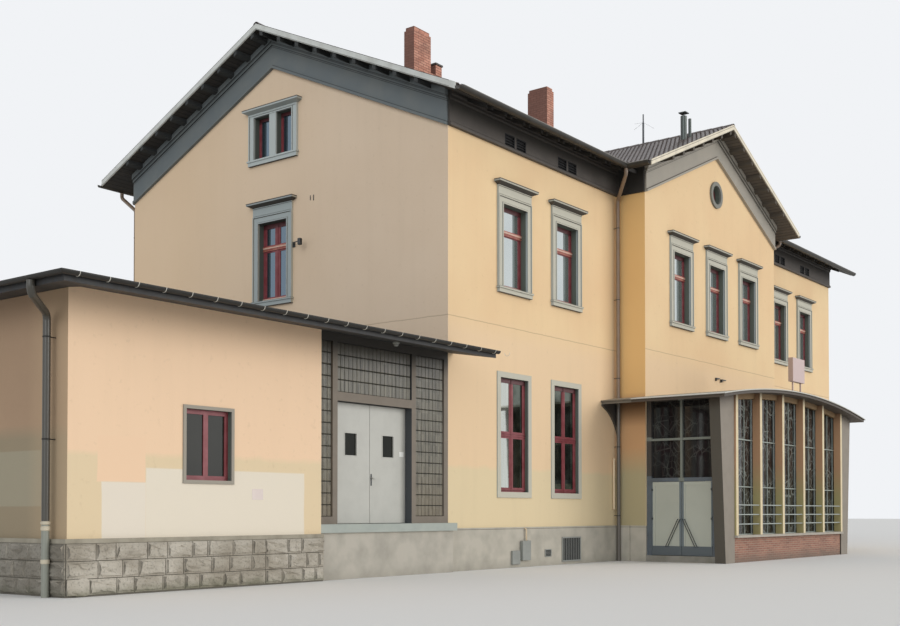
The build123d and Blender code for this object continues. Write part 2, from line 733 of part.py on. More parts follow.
def cut_vents(plane, middles):
    """Cut a pair of louvred vents over each window of a wing and leave their slats."""
    pitch = (VENT_HEAD - VENT_FOOT) / (VENT_SLATS + 1)
    with BuildSketch(plane.offset(FRIEZE_PROUD)) as vents:
        for middle in middles:
            for side in (-1, 1):
                place = middle + side * (VENT_WIDTH + VENT_GAP) / 2
                light(place, VENT_WIDTH, VENT_FOOT, VENT_HEAD)
                for slat in range(1, VENT_SLATS + 1):
                    height = VENT_FOOT + slat * pitch
                    light(place, VENT_WIDTH, height - VENT_SLAT, height, Mode.SUBTRACT)
    extrude(vents.sketch, amount=-VENT_RECESS, mode=Mode.SUBTRACT)


with BuildPart() as eaves_friezes:
    for run in ((0, RISALIT_LEFT), (RISALIT_RIGHT, MAIN_LENGTH)):
        with BuildSketch(Plane.YZ.offset(run[0])):
            eaves_frieze_profile(0, -1)
        extrude(amount=run[1] - run[0])
        with BuildSketch(*[Plane.YZ.offset(x) for x in rafter_starts(run)]):
            rafter_profile(0, -1)
        extrude(amount=RAFTER_WIDTH)
    with BuildSketch(Plane.YZ):
        eaves_frieze_profile(MAIN_DEPTH, 1)
    extrude(amount=MAIN_LENGTH)
    with BuildSketch(*[Plane.YZ.offset(x) for x in rafter_starts((0, MAIN_LENGTH))]):
        rafter_profile(MAIN_DEPTH, 1)
    extrude(amount=RAFTER_WIDTH)
    for place in ("wing_left", "wing_right", "back_left", "back_middle", "back_right"):
        cut_vents(*UPPER_PLACES[place])
    for face, out in ((RISALIT_LEFT, -1), (RISALIT_RIGHT, 1)):
        top = risalit_roof_top(face) - ROOF_SLAB
        with BuildSketch(Plane.XZ.offset(-RISALIT_FRONT)):
            Polygon(
                (face, FRIEZE_FOOT),
                (face + out * FRIEZE_PROUD, FRIEZE_FOOT),
                (face + out * FRIEZE_PROUD, top - RISALIT_RISE * FRIEZE_PROUD),
                (face, top),
                align=None,
            )
        extrude(amount=-RISALIT_PROJECTION)
    add(roof_front.part, mode=Mode.SUBTRACT)
save(eaves_friezes, "eaves_friezes")


def rake_band(half_width, middle_top, rise, foot_drop, top_drop):
    """Draw a gable's raking band about its middle, between two lines below the roof surface."""
    edge_top = middle_top - rise * half_width
    Polygon(
        (-half_width, edge_top - foot_drop),
        (-half_width, edge_top - top_drop),
        (0, middle_top - top_drop),
        (half_width, edge_top - top_drop),
        (half_width, edge_top - foot_drop),
        (0, middle_top - foot_drop),
        align=None,
    )


def lookouts(half_width, middle_soffit, rise):
    """Draw the ends of the timbers that carry a gable's overhang, pitch by pitch."""
    count = math.floor((half_width - LOOKOUT_FIRST) / LOOKOUT_PITCH) + 1
    for side in (-1, 1):
        for step in range(count):
            near = LOOKOUT_FIRST + step * LOOKOUT_PITCH - LOOKOUT_WIDTH / 2
            far = near + LOOKOUT_WIDTH
            Polygon(
                (side * near, middle_soffit - rise * near),
                (side * far, middle_soffit - rise * far),
                (side * far, middle_soffit - rise * far - LOOKOUT_DEPTH),
                (side * near, middle_soffit - rise * near - LOOKOUT_DEPTH),
                align=None,
            )


with BuildPart() as rake_friezes:
    for plane, half_width, middle_top, rise, overhang in (
        (GABLE_LEFT, MAIN_MIDDLE, RIDGE_TOP, MAIN_RISE, VERGE_OVERHANG),
        (GABLE_RIGHT, MAIN_MIDDLE, RIDGE_TOP, MAIN_RISE, VERGE_OVERHANG),
        (
            RISALIT_FACE,
            RISALIT_WIDTH / 2,
            RISALIT_RIDGE_TOP,
            RISALIT_RISE,
            RISALIT_VERGE_OVERHANG,
        ),
    ):
        foot_drop = middle_top - rise * half_width - FRIEZE_FOOT
        for proud, foot, top in (
            (FRIEZE_BEAD_PROUD, foot_drop, foot_drop - FRIEZE_BEAD),
            (FRIEZE_PROUD, foot_drop, ROOF_SLAB),
            (FRIEZE_STEP_PROUD, ROOF_SLAB + FRIEZE_STEP, ROOF_SLAB),
            (FRIEZE_CROWN_PROUD, ROOF_SLAB + FRIEZE_CROWN, ROOF_SLAB),
        ):
            with BuildSketch(plane):
                rake_band(half_width, middle_top, rise, foot, top)
            extrude(amount=proud)
        with BuildSketch(plane):
            lookouts(half_width, middle_top - ROOF_SLAB, rise)
        extrude(amount=overhang - VERGE_BOARD)
save(rake_friezes, "rake_friezes")


# Gutters, half-round troughs along the eave edges, mitred where they turn
def gutter(points, radius):
    """Run a half-round gutter along the middle of its rim, with a joint at each corner."""
    with BuildLine() as route:
        Polyline(*points)
    along = route.line % 0
    across = along.cross(Vector(0, 0, -1))
    with BuildSketch(Plane(origin=route.line @ 0, x_dir=across, z_dir=along)) as section:
        Circle(radius)
        Circle(radius - GUTTER_SHEET, mode=Mode.SUBTRACT)
        with Locations((0, radius)):
            Rectangle(4 * radius, 2 * radius, mode=Mode.SUBTRACT)
    sweep(section.sketch, path=route.line, transition=Transition.RIGHT)
    for before, corner, after in zip(points, points[1:], points[2:]):
        crossing = (after[0] - before[0]) * (after[1] - before[1])
        with Locations(Location(corner, (0, 0, -math.copysign(45, crossing)))):
            Box(4 * radius, GUTTER_JOINT, 4 * radius, mode=Mode.SUBTRACT)


GUTTER_Z = EAVE_TOP - GUTTER_RADIUS / 2
FRONT_RIM = EAVE_LINE[0] - GUTTER_RADIUS
BACK_RIM = EAVE_LINE[1] + GUTTER_RADIUS
RISALIT_RIMS = (RISALIT_EAVES[0] - GUTTER_RADIUS, RISALIT_EAVES[1] + GUTTER_RADIUS)
ANNEX_GUTTER_Z = ANNEX_WALL_TOP - ANNEX_GUTTER_RADIUS / 2
ANNEX_RIM_LEFT = ANNEX_EDGE_LEFT - ANNEX_GUTTER_RADIUS
ANNEX_RIM_FRONT = ANNEX_EDGE_FRONT - ANNEX_GUTTER_RADIUS
ANNEX_RIM_BACK = ANNEX_EDGE_BACK + ANNEX_GUTTER_RADIUS

with BuildPart() as eaves_gutters:
    for outer, inner in (
        (-VERGE_OVERHANG, RISALIT_RIMS[0]),
        (MAIN_LENGTH + VERGE_OVERHANG, RISALIT_RIMS[1]),
    ):
        gutter(
            [
                (outer, FRONT_RIM, GUTTER_Z),
                (inner, FRONT_RIM, GUTTER_Z),
                (inner, RISALIT_VERGE, GUTTER_Z),
            ],
            GUTTER_RADIUS,
        )
    gutter(
        [
            (-VERGE_OVERHANG, BACK_RIM, GUTTER_Z),
            (MAIN_LENGTH + VERGE_OVERHANG, BACK_RIM, GUTTER_Z),
        ],
        GUTTER_RADIUS,
    )
    gutter(
        [
            (ANNEX_ROOF_PAST_CORNER, ANNEX_RIM_FRONT, ANNEX_GUTTER_Z),
            (ANNEX_RIM_LEFT, ANNEX_RIM_FRONT, ANNEX_GUTTER_Z),
            (ANNEX_RIM_LEFT, ANNEX_RIM_BACK, ANNEX_GUTTER_Z),
            (0, ANNEX_RIM_BACK, ANNEX_GUTTER_Z),
        ],
        ANNEX_GUTTER_RADIUS,
    )
save(eaves_gutters, "eaves_gutters")


# Downpipes: a swan neck from the gutter to the wall, then straight down
def downpipe(points, radius):
    """Sweep one downpipe along straight runs with rounded bends."""
    with BuildLine() as route:
        FilletPolyline(*points, radius=DOWNPIPE_BEND * radius)
    with BuildSketch(Plane(origin=route.line @ 0, z_dir=route.line % 0)) as section:
        Circle(radius)
    sweep(section.sketch, path=route.line)


PIPE_LINE = DOWNPIPE_RADIUS + DOWNPIPE_CLEARANCE + PLINTH_PROUD
PIPE_NECK_TOP = GUTTER_Z - GUTTER_RADIUS
PIPE_NECK_FOOT = FRIEZE_FOOT - DOWNPIPE_NECK
FRONT_PIPES = (RISALIT_LEFT - PIPE_LINE, RISALIT_RIGHT + PIPE_LINE)


def neck_and_fall(neck, foot):
    """Points of a downpipe from under a gutter, across to the wall and down to the ground."""
    return [
        (*neck, PIPE_NECK_TOP),
        (*neck, PIPE_NECK_TOP - DOWNPIPE_NECK),
        (*foot, PIPE_NECK_FOOT),
        (*foot, 0),
    ]


with BuildPart() as downpipes:
    for rim, pipe_x in zip(RISALIT_RIMS, FRONT_PIPES):
        downpipe(neck_and_fall((rim, FRONT_RIM), (pipe_x, -PIPE_LINE)), DOWNPIPE_RADIUS)
    for pipe_x in (PIPE_LINE, MAIN_LENGTH - PIPE_LINE):
        foot = (pipe_x, MAIN_DEPTH + PIPE_LINE)
        downpipe(neck_and_fall((pipe_x, BACK_RIM), foot), DOWNPIPE_RADIUS)
    annex_pipe_x = ANNEX_LEFT - ANNEX_CAP_PROUD - DOWNPIPE_CLEARANCE - ANNEX_PIPE_RADIUS
    annex_neck_top = ANNEX_GUTTER_Z - ANNEX_GUTTER_RADIUS
    annex_neck_foot = annex_neck_top - ANNEX_PIPE_DROP
    downpipe(
        [
            (ANNEX_RIM_LEFT, ANNEX_PIPE_NECK_Y, annex_neck_top),
            (ANNEX_RIM_LEFT, ANNEX_PIPE_NECK_Y, annex_neck_foot),
            (annex_pipe_x, ANNEX_PIPE_Y, annex_neck_foot - ANNEX_PIPE_FALL),
            (annex_pipe_x, ANNEX_PIPE_Y, 0),
        ],
        ANNEX_PIPE_RADIUS,
    )
save(downpipes, "downpipes")

# Chimneys, cut to the roof they stand on
with BuildPart() as chimneys:
    for x, y, width, depth, top in (
        (
            CHIMNEY_LEFT_X,
            CHIMNEY_LEFT_Y,
            CHIMNEY_LEFT_WIDTH,
            CHIMNEY_LEFT_DEPTH,
            CHIMNEY_LEFT_TOP,
        ),
        (
            CHIMNEY_RIGHT_X,
            CHIMNEY_RIGHT_Y,
            CHIMNEY_RIGHT_WIDTH,
            CHIMNEY_RIGHT_DEPTH,
            CHIMNEY_RIGHT_TOP,
        ),
    ):
        inset = CHIMNEY_CROWN_STEP
        block((x, x + width), (y, y + depth), (ATTIC_FLOOR_TOP, top - CHIMNEY_CROWN))
        block(
            (x + inset, x + width - inset),
            (y + inset, y + depth - inset),
            (top - CHIMNEY_CROWN, top),
        )
    low_stack = CHIMNEY_LEFT_X + CHIMNEY_LEFT_WIDTH
    block(
        (low_stack, low_stack + LOW_STACK_WIDTH),
        (CHIMNEY_LEFT_Y, CHIMNEY_LEFT_Y + CHIMNEY_LEFT_DEPTH),
        (ATTIC_FLOOR_TOP, LOW_STACK_TOP),
    )
    add(main_roof_hull.part, mode=Mode.SUBTRACT)
save(chimneys, "chimneys")

with BuildPart() as risalit_roof_hull:
    with BuildSketch(Plane.XZ.offset(-RISALIT_VERGE)):
        with BuildLine():
            Polyline(
                (RISALIT_EAVES[0], 0),
                (RISALIT_EAVES[1], 0),
                (RISALIT_EAVES[1], RISALIT_EAVE_TOP),
                (RISALIT_CENTRE, RISALIT_RIDGE_TOP),
                (RISALIT_EAVES[0], RISALIT_EAVE_TOP),
                close=True,
            )
        make_face()
    extrude(amount=-(MAIN_MIDDLE - RISALIT_VERGE))

with BuildPart() as flues:
    for x, radius, top in (
        (FLUE_X, FLUE_RADIUS, FLUE_TOP),
        (FLUE_X + FLUE_SPACING, SMALL_FLUE_RADIUS, SMALL_FLUE_TOP),
    ):
        foot = RISALIT_EAVE_TOP
        with BuildSketch(Plane.XY.offset(foot)):
            with Locations((x, FLUE_Y)):
                Circle(radius)
        extrude(amount=top - foot)
    with BuildSketch(Plane.XY.offset(FLUE_TOP)):
        with Locations((FLUE_X, FLUE_Y)):
            Circle(FLUE_STEM_RADIUS)
    extrude(amount=FLUE_CAP_GAP)
    with BuildSketch(Plane.XY.offset(FLUE_TOP + FLUE_CAP_GAP)):
        with Locations((FLUE_X, FLUE_Y)):
            Rectangle(FLUE_CAP_WIDTH, FLUE_CAP_WIDTH)
    extrude(amount=FLUE_CAP)
    add(risalit_roof_hull.part, mode=Mode.SUBTRACT)
save(flues, "flues")

with BuildPart() as antenna_mast:
    with BuildSketch(Plane.XY.offset(RISALIT_RIDGE_TOP - MAST_RADIUS)):
        with Locations((RISALIT_CENTRE, MAST_Y)):
            Circle(MAST_RADIUS)
    extrude(amount=MAST_RADIUS + MAST_HEIGHT)
    add(risalit_roof_hull.part, mode=Mode.SUBTRACT)
save(antenna_mast, "antenna_mast")


# Window surrounds
def flared(plane, u, low, high):
    """Loft a moulding on a wall face between two levels of (height, width, reach)."""
    outlines = []
    for height, width, reach in (low, high):
        level = Plane(
            origin=plane.origin + Vector(0, 0, height), x_dir=plane.x_dir, z_dir=(0, 0, 1)
        )
        with BuildSketch(level) as outline:
            with Locations((u, -reach / 2)):
                Rectangle(width, reach)
        outlines.append(outline.sketch)
    loft(outlines)


def hooded_surround(plane, u, width, foot, head, frieze):
    """Model one architrave with its sill, frieze panel and moulded hood on a wall face."""
    outer = width + 2 * ARCHITRAVE
    nosed = outer + 2 * (SILL_NOSING_PROUD - SILL_PROUD)
    hood = outer + 2 * HOOD_RETURN
    bed_foot = head + ARCHITRAVE + frieze
    bed_top = bed_foot + HOOD_BED
    corona_top = bed_top + HOOD_CORONA
    with BuildSketch(plane) as architrave:
        light(u, outer, foot - SILL_HEIGHT, bed_foot)
        light(u, width, foot, head, Mode.SUBTRACT)
    extrude(architrave.sketch, amount=ARCHITRAVE_PROUD)
    for block_width, block_foot, block_head, proud in (
        (outer, foot - SILL_HEIGHT, foot - SILL_NOSING, SILL_PROUD),
        (nosed, foot - SILL_NOSING, foot, SILL_NOSING_PROUD),
        (hood, bed_top, corona_top, HOOD_PROUD),
    ):
        with BuildSketch(plane) as moulding:
            light(u, block_width, block_foot, block_head)
        extrude(moulding.sketch, amount=proud)
    flared(plane, u, (bed_foot, outer, ARCHITRAVE_PROUD), (bed_top, hood, HOOD_PROUD))
    flared(
        plane,
        u,
        (corona_top, hood, HOOD_PROUD),
        (corona_top + HOOD_WEATHERING, outer, ARCHITRAVE_PROUD),
    )


with BuildPart() as window_surrounds:
    for plane, middles in UPPER_PLACES.values():
        for u in middles:
            hooded_surround(plane, u, UPPER_WIDTH, UPPER_FOOT, UPPER_HEAD, HOOD_FRIEZE)
    for plane in (GABLE_LEFT, GABLE_RIGHT):
        pair_width = ATTIC_PILLAR + 2 * ATTIC_LIGHT
        hooded_surround(plane, 0, pair_width, ATTIC_FOOT, ATTIC_HEAD, -ARCHITRAVE / 2)
        with BuildSketch(plane):
            light(0, ATTIC_PILLAR, ATTIC_FOOT, ATTIC_HEAD)
        extrude(amount=ARCHITRAVE_PROUD)
    for plane, middles in LOWER_PLACES.values():
        for u in middles:
            with BuildSketch(plane):
                trim_foot = LOWER_FOOT - LOWER_TRIM
                trim_head = LOWER_HEAD + LOWER_TRIM
                light(u, LOWER_WIDTH + 2 * LOWER_TRIM, trim_foot, trim_head)
                light(u, LOWER_WIDTH, LOWER_FOOT, LOWER_HEAD, Mode.SUBTRACT)
            extrude(amount=LOWER_TRIM_PROUD)
    with BuildSketch(ANNEX_FACE):
        trim = ANNEX_WINDOW_TRIM
        light(0, ANNEX_WINDOW_WIDTH + 2 * trim, ANNEX_WINDOW_FOOT - trim, ANNEX_WINDOW_HEAD + trim)
        light(0, ANNEX_WINDOW_WIDTH, ANNEX_WINDOW_FOOT, ANNEX_WINDOW_HEAD, Mode.SUBTRACT)
    extrude(amount=LOWER_TRIM_PROUD)
    with BuildSketch(RISALIT_FACE):
        with Locations((0, OCULUS_HEIGHT)):
            Circle(OCULUS_RADIUS + OCULUS_RING)
            Circle(OCULUS_RADIUS, mode=Mode.SUBTRACT)
    extrude(amount=OCULUS_RING_PROUD)
save(window_surrounds, "window_surrounds")


# Window frames and glass
def casement(plane, u, width, foot, head, transom):
    """Frame one opening with a mullion and a transom, set back from the wall's face."""
    with BuildSketch(plane) as frame:
        light(u, width, foot, head)
        lows = (foot + FRAME_FACE, transom + MULLION_FACE / 2)
        highs = (transom - MULLION_FACE / 2, head - FRAME_FACE)
        pane = (width - MULLION_FACE) / 2 - FRAME_FACE
        for low, high in zip(lows, highs):
            for side in (-1, 1):
                light(u + side * (pane + MULLION_FACE) / 2, pane, low, high, Mode.SUBTRACT)
    extrude(frame.sketch, amount=-FRAME_DEPTH)


def stacked_lights(plane, u, width, bars):
    """Frame one opening whose lights stand over each other between its level bars."""
    with BuildSketch(plane) as frame:
        light(u, width, bars[0][0], bars[-1][1])
        for (_, low), (high, _) in zip(bars, bars[1:]):
            light(u, width - 2 * FRAME_FACE, low, high, Mode.SUBTRACT)
    extrude(frame.sketch, amount=-FRAME_DEPTH)


UPPER_BARS = (
    (UPPER_FOOT, UPPER_FOOT + FRAME_FACE),
    (UPPER_TRANSOM - MULLION_FACE / 2, UPPER_TRANSOM + MULLION_FACE / 2),
    (UPPER_HEAD - FRAME_FACE, UPPER_HEAD),
)
ATTIC_BARS = (
    (ATTIC_FOOT, ATTIC_FOOT + FRAME_FACE),
    (ATTIC_HEAD - FRAME_FACE, ATTIC_HEAD),
)

with BuildPart() as upper_window_frames:
    for place, (plane, middles) in UPPER_PLACES.items():
        for u in middles:
            face = plane.offset(-UPPER_SETBACK)
            if place.startswith("gable"):
                casement(face, u, UPPER_WIDTH, UPPER_FOOT, UPPER_HEAD, UPPER_TRANSOM)
            else:
                stacked_lights(face, u, UPPER_WIDTH, UPPER_BARS)
    for plane in (GABLE_LEFT, GABLE_RIGHT):
        for u in ATTIC_MIDDLES:
            stacked_lights(plane.offset(-UPPER_SETBACK), u, ATTIC_LIGHT, ATTIC_BARS)
    with BuildSketch(RISALIT_FACE.offset(-UPPER_SETBACK)):
        with Locations((0, OCULUS_HEIGHT)):
            Circle(OCULUS_RADIUS)
            Circle(OCULUS_RADIUS - FRAME_FACE, mode=Mode.SUBTRACT)
    extrude(amount=-FRAME_DEPTH)
save(upper_window_frames, "upper_window_frames")

with BuildPart() as lower_window_frames:
    for plane, middles in LOWER_PLACES.values():
        for u in middles:
            face = plane.offset(-LOWER_SETBACK)
            casement(face, u, LOWER_WIDTH, LOWER_FOOT, LOWER_HEAD, LOWER_TRANSOM)
    with BuildSketch(ANNEX_FACE.offset(-LOWER_SETBACK)):
        light(0, ANNEX_WINDOW_WIDTH, ANNEX_WINDOW_FOOT, ANNEX_WINDOW_HEAD)
        pane = (ANNEX_WINDOW_WIDTH - MULLION_FACE) / 2 - FRAME_FACE
        for side in (-1, 1):
            light(
                side * (pane + MULLION_FACE) / 2,
                pane,
                ANNEX_WINDOW_FOOT + FRAME_FACE,
                ANNEX_WINDOW_HEAD - FRAME_FACE,
                Mode.SUBTRACT,
            )
    extrude(amount=-FRAME_DEPTH)
save(lower_window_frames, "lower_window_frames")


def sheet_of_glass(plane, setback, rectangles):
    """Lay glass against the inner side of a wall face's frames."""
    with BuildSketch(plane.offset(-setback - FRAME_DEPTH)) as sheets:
        for rectangle in rectangles:
            light(*rectangle)
    extrude(sheets.sketch, amount=-GLASS)


with BuildPart() as window_glass:
    for plane, middles in UPPER_PLACES.values():
        lights = [(u, UPPER_WIDTH, UPPER_FOOT, UPPER_HEAD) for u in middles]
        sheet_of_glass(plane, UPPER_SETBACK, lights)
    for plane, middles in LOWER_PLACES.values():
        lights = [(u, LOWER_WIDTH, LOWER_FOOT, LOWER_HEAD) for u in middles]
        sheet_of_glass(plane, LOWER_SETBACK, lights)
    for plane in (GABLE_LEFT, GABLE_RIGHT):
        sheet_of_glass(plane, UPPER_SETBACK, ATTIC_LIGHTS)
    annex_light = (0, ANNEX_WINDOW_WIDTH, ANNEX_WINDOW_FOOT, ANNEX_WINDOW_HEAD)
    sheet_of_glass(ANNEX_FACE, LOWER_SETBACK, [annex_light])
    with BuildSketch(RISALIT_FACE.offset(-UPPER_SETBACK - FRAME_DEPTH)):
        with Locations((0, OCULUS_HEIGHT)):
            Circle(OCULUS_RADIUS)
    extrude(amount=-GLASS)
save(window_glass, "window_glass")

# Annex walls, trimmed under the low hipped roof
ANNEX_RETURN = DOCK_LEFT
with BuildPart() as annex_long_walls:
    block(
        (ANNEX_LEFT, ANNEX_RETURN),
        (ANNEX_FRONT, ANNEX_FRONT + ANNEX_WALL),
        (ANNEX_PLINTH_TOP, RIDGE_TOP),
    )
    block((ANNEX_LEFT, 0), (ANNEX_BACK - ANNEX_WALL, ANNEX_BACK), (ANNEX_PLINTH_TOP, RIDGE_TOP))
    add(annex_under_roof.part, mode=Mode.INTERSECT)
    cut_lights(
        [(ANNEX_FACE, [(0, ANNEX_WINDOW_WIDTH, ANNEX_WINDOW_FOOT, ANNEX_WINDOW_HEAD)])],
        ANNEX_WALL,
    )
    block(
        (-PLINTH_PROUD, 0),
        (ANNEX_BACK - ANNEX_WALL, ANNEX_BACK),
        (ANNEX_PLINTH_TOP, PLINTH_TOP),
        Mode.SUBTRACT,
    )
save(annex_long_walls, "annex_long_walls")

with BuildPart() as annex_end_wall:
    block(
        (ANNEX_LEFT, ANNEX_LEFT + ANNEX_WALL),
        (ANNEX_FRONT + ANNEX_WALL, ANNEX_BACK - ANNEX_WALL),
        (ANNEX_PLINTH_TOP, RIDGE_TOP),
    )
    add(annex_under_roof.part, mode=Mode.INTERSECT)
save(annex_end_wall, "annex_end_wall")

ANNEX_PLINTH_LEFT = ANNEX_LEFT - ANNEX_PLINTH_PROUD
ANNEX_CAP_LEFT = ANNEX_LEFT - ANNEX_CAP_PROUD
ANNEX_CAP_FOOT = ANNEX_PLINTH_TOP - ANNEX_CAP
with BuildPart() as annex_plinth_long_sides:
    block(
        (ANNEX_PLINTH_LEFT, ANNEX_RETURN),
        (ANNEX_FRONT - ANNEX_PLINTH_PROUD, ANNEX_FRONT + ANNEX_WALL),
        (0, ANNEX_CAP_FOOT),
    )
    block(
        (ANNEX_CAP_LEFT, ANNEX_RETURN),
        (ANNEX_FRONT - ANNEX_CAP_PROUD, ANNEX_FRONT + ANNEX_WALL),
        (ANNEX_CAP_FOOT, ANNEX_PLINTH_TOP),
    )
    block(
        (ANNEX_PLINTH_LEFT, -PLINTH_PROUD),
        (ANNEX_BACK - ANNEX_WALL, ANNEX_BACK + ANNEX_PLINTH_PROUD),
        (0, ANNEX_CAP_FOOT),
    )
    block(
        (ANNEX_CAP_LEFT, -PLINTH_PROUD),
        (ANNEX_BACK - ANNEX_WALL, ANNEX_BACK + ANNEX_CAP_PROUD),
        (ANNEX_CAP_FOOT, ANNEX_PLINTH_TOP),
    )
save(annex_plinth_long_sides, "annex_plinth_long_sides")

with BuildPart() as annex_plinth_end:
    block(
        (ANNEX_PLINTH_LEFT, ANNEX_LEFT + ANNEX_WALL),
        (ANNEX_FRONT + ANNEX_WALL, ANNEX_BACK - ANNEX_WALL),
        (0, ANNEX_CAP_FOOT),
    )
    block(
        (ANNEX_CAP_LEFT, ANNEX_LEFT + ANNEX_WALL),
        (ANNEX_FRONT + ANNEX_WALL, ANNEX_BACK - ANNEX_WALL),
        (ANNEX_CAP_FOOT, ANNEX_PLINTH_TOP),
    )
save(annex_plinth_end, "annex_plinth_end")

LEDGE_FOOT = ANNEX_FLOOR_TOP - DOCK_LEDGE
with BuildPart() as annex_floor:
    block(
        (ANNEX_LEFT + ANNEX_WALL, 0),
        (ANNEX_FRONT + ANNEX_WALL, ANNEX_BACK - ANNEX_WALL),
        (PLINTH_TOP, ANNEX_FLOOR_TOP),
    )
save(annex_floor, "annex_floor")

DOCK_BACK = ANNEX_FRONT + ANNEX_WALL
with BuildPart() as dock_plinth:
    block((DOCK_LEFT, -PLINTH_PROUD), (DOCK_PLINTH_FRONT, DOCK_BACK), (0, LEDGE_FOOT))
save(dock_plinth, "dock_plinth")

with BuildPart() as dock_ledge:
    block((DOCK_LEFT, 0), (DOCK_LEDGE_FRONT, DOCK_BACK), (LEDGE_FOOT, ANNEX_FLOOR_TOP))
    block((0, DOCK_LEDGE_END), (DOCK_LEDGE_FRONT, 0), (LEDGE_FOOT, ANNEX_FLOOR_TOP))
    block(
        (-PLINTH_PROUD, DOCK_LEDGE_END),
        (-PLINTH_PROUD, DOCK_BACK),
        (LEDGE_FOOT, PLINTH_TOP),
        Mode.SUBTRACT,
    )
save(dock_ledge, "dock_ledge")

# Glass-block wall: framed panels beside and over the goods doors
LINTEL_TOP = DOCK_DOOR_HEAD + DOCK_LINTEL
SOFFIT_RAIL = ANNEX_WALL_TOP - BLOCK_RAIL
LEFT_BLOCKS = (DOCK_LEFT + BLOCK_END_POST, DOCK_DOOR_LEFT - BLOCK_POST)
RIGHT_BLOCKS = (DOCK_DOOR_RIGHT + BLOCK_POST, -BLOCK_POST)
TOP_BLOCKS = (DOCK_DOOR_LEFT, DOCK_DOOR_RIGHT)

with BuildPart() as block_frames_side:
    for frame, blocks in (
        ((DOCK_LEFT, DOCK_DOOR_LEFT), LEFT_BLOCKS),
        ((DOCK_DOOR_RIGHT, 0), RIGHT_BLOCKS),
    ):
        with BuildSketch(Plane.XZ):
            panel(frame, (ANNEX_FLOOR_TOP, RIDGE_TOP))
            panel(blocks, (ANNEX_FLOOR_TOP + BLOCK_RAIL, SOFFIT_RAIL), Mode.SUBTRACT)
        extrude(amount=-BLOCK_FRAME_DEPTH)
    add(annex_under_roof.part, mode=Mode.INTERSECT)
save(block_frames_side, "block_frames_side")

with BuildPart() as block_frame_head:
    with BuildSketch(Plane.XZ):
        panel(TOP_BLOCKS, (DOCK_DOOR_HEAD, RIDGE_TOP))
        panel(TOP_BLOCKS, (LINTEL_TOP, SOFFIT_RAIL), Mode.SUBTRACT)
    extrude(amount=-BLOCK_FRAME_DEPTH)
    add(annex_under_roof.part, mode=Mode.INTERSECT)
save(block_frame_head, "block_frame_head")

with BuildPart() as glass_blocks:
    with BuildSketch(Plane.XZ.offset(-BLOCK_SETBACK)):
        panel(LEFT_BLOCKS, (ANNEX_FLOOR_TOP + BLOCK_RAIL, SOFFIT_RAIL))
        panel(RIGHT_BLOCKS, (ANNEX_FLOOR_TOP + BLOCK_RAIL, SOFFIT_RAIL))
        panel(TOP_BLOCKS, (LINTEL_TOP, SOFFIT_RAIL))
    extrude(amount=-BLOCK_THICKNESS)
save(glass_blocks, "glass_blocks")

# Hinges: a knuckle on the leaf turns on a pin between two knuckles on the frame
def hinge_heights(z_range):
    """Middles of a leaf's three hinges."""
    low = z_range[0] + HINGE_INSET
    high = z_range[1] - HINGE_INSET
    return (low, (low + high) / 2, high)


def barrel(axis, radius, z_range, mode=Mode.ADD):
    """Add or cut one upright cylinder of a hinge."""
    with BuildSketch(Plane.XY.offset(z_range[0])) as ring:
        with Locations(axis):
            Circle(radius)
    extrude(ring.sketch, amount=z_range[1] - z_range[0], mode=mode)


def leaf_knuckles(axis, wing, z_range):
    """Add the middle knuckles of a leaf's hinges with the plates that carry them."""
    for height in hinge_heights(z_range):
        span = (height - KNUCKLE_LENGTH / 2, height + KNUCKLE_LENGTH / 2)
        block(*wing, span)
        barrel(axis, KNUCKLE_RADIUS, span)
        barrel(axis, PIN_RADIUS + HINGE_PLAY, span, Mode.SUBTRACT)


def frame_knuckles(axis, wing, z_range):
    """Add the pins and outer knuckles of a leaf's hinges with their plates on the frame."""
    for height in hinge_heights(z_range):
        near = KNUCKLE_LENGTH / 2 + HINGE_PLAY
        far = KNUCKLE_LENGTH + HINGE_PLAY
        barrel(axis, PIN_RADIUS, (height - far, height + far))
        for span in ((height - far, height - near), (height + near, height + far)):
            block(*wing, span)
            barrel(axis, KNUCKLE_RADIUS, span)


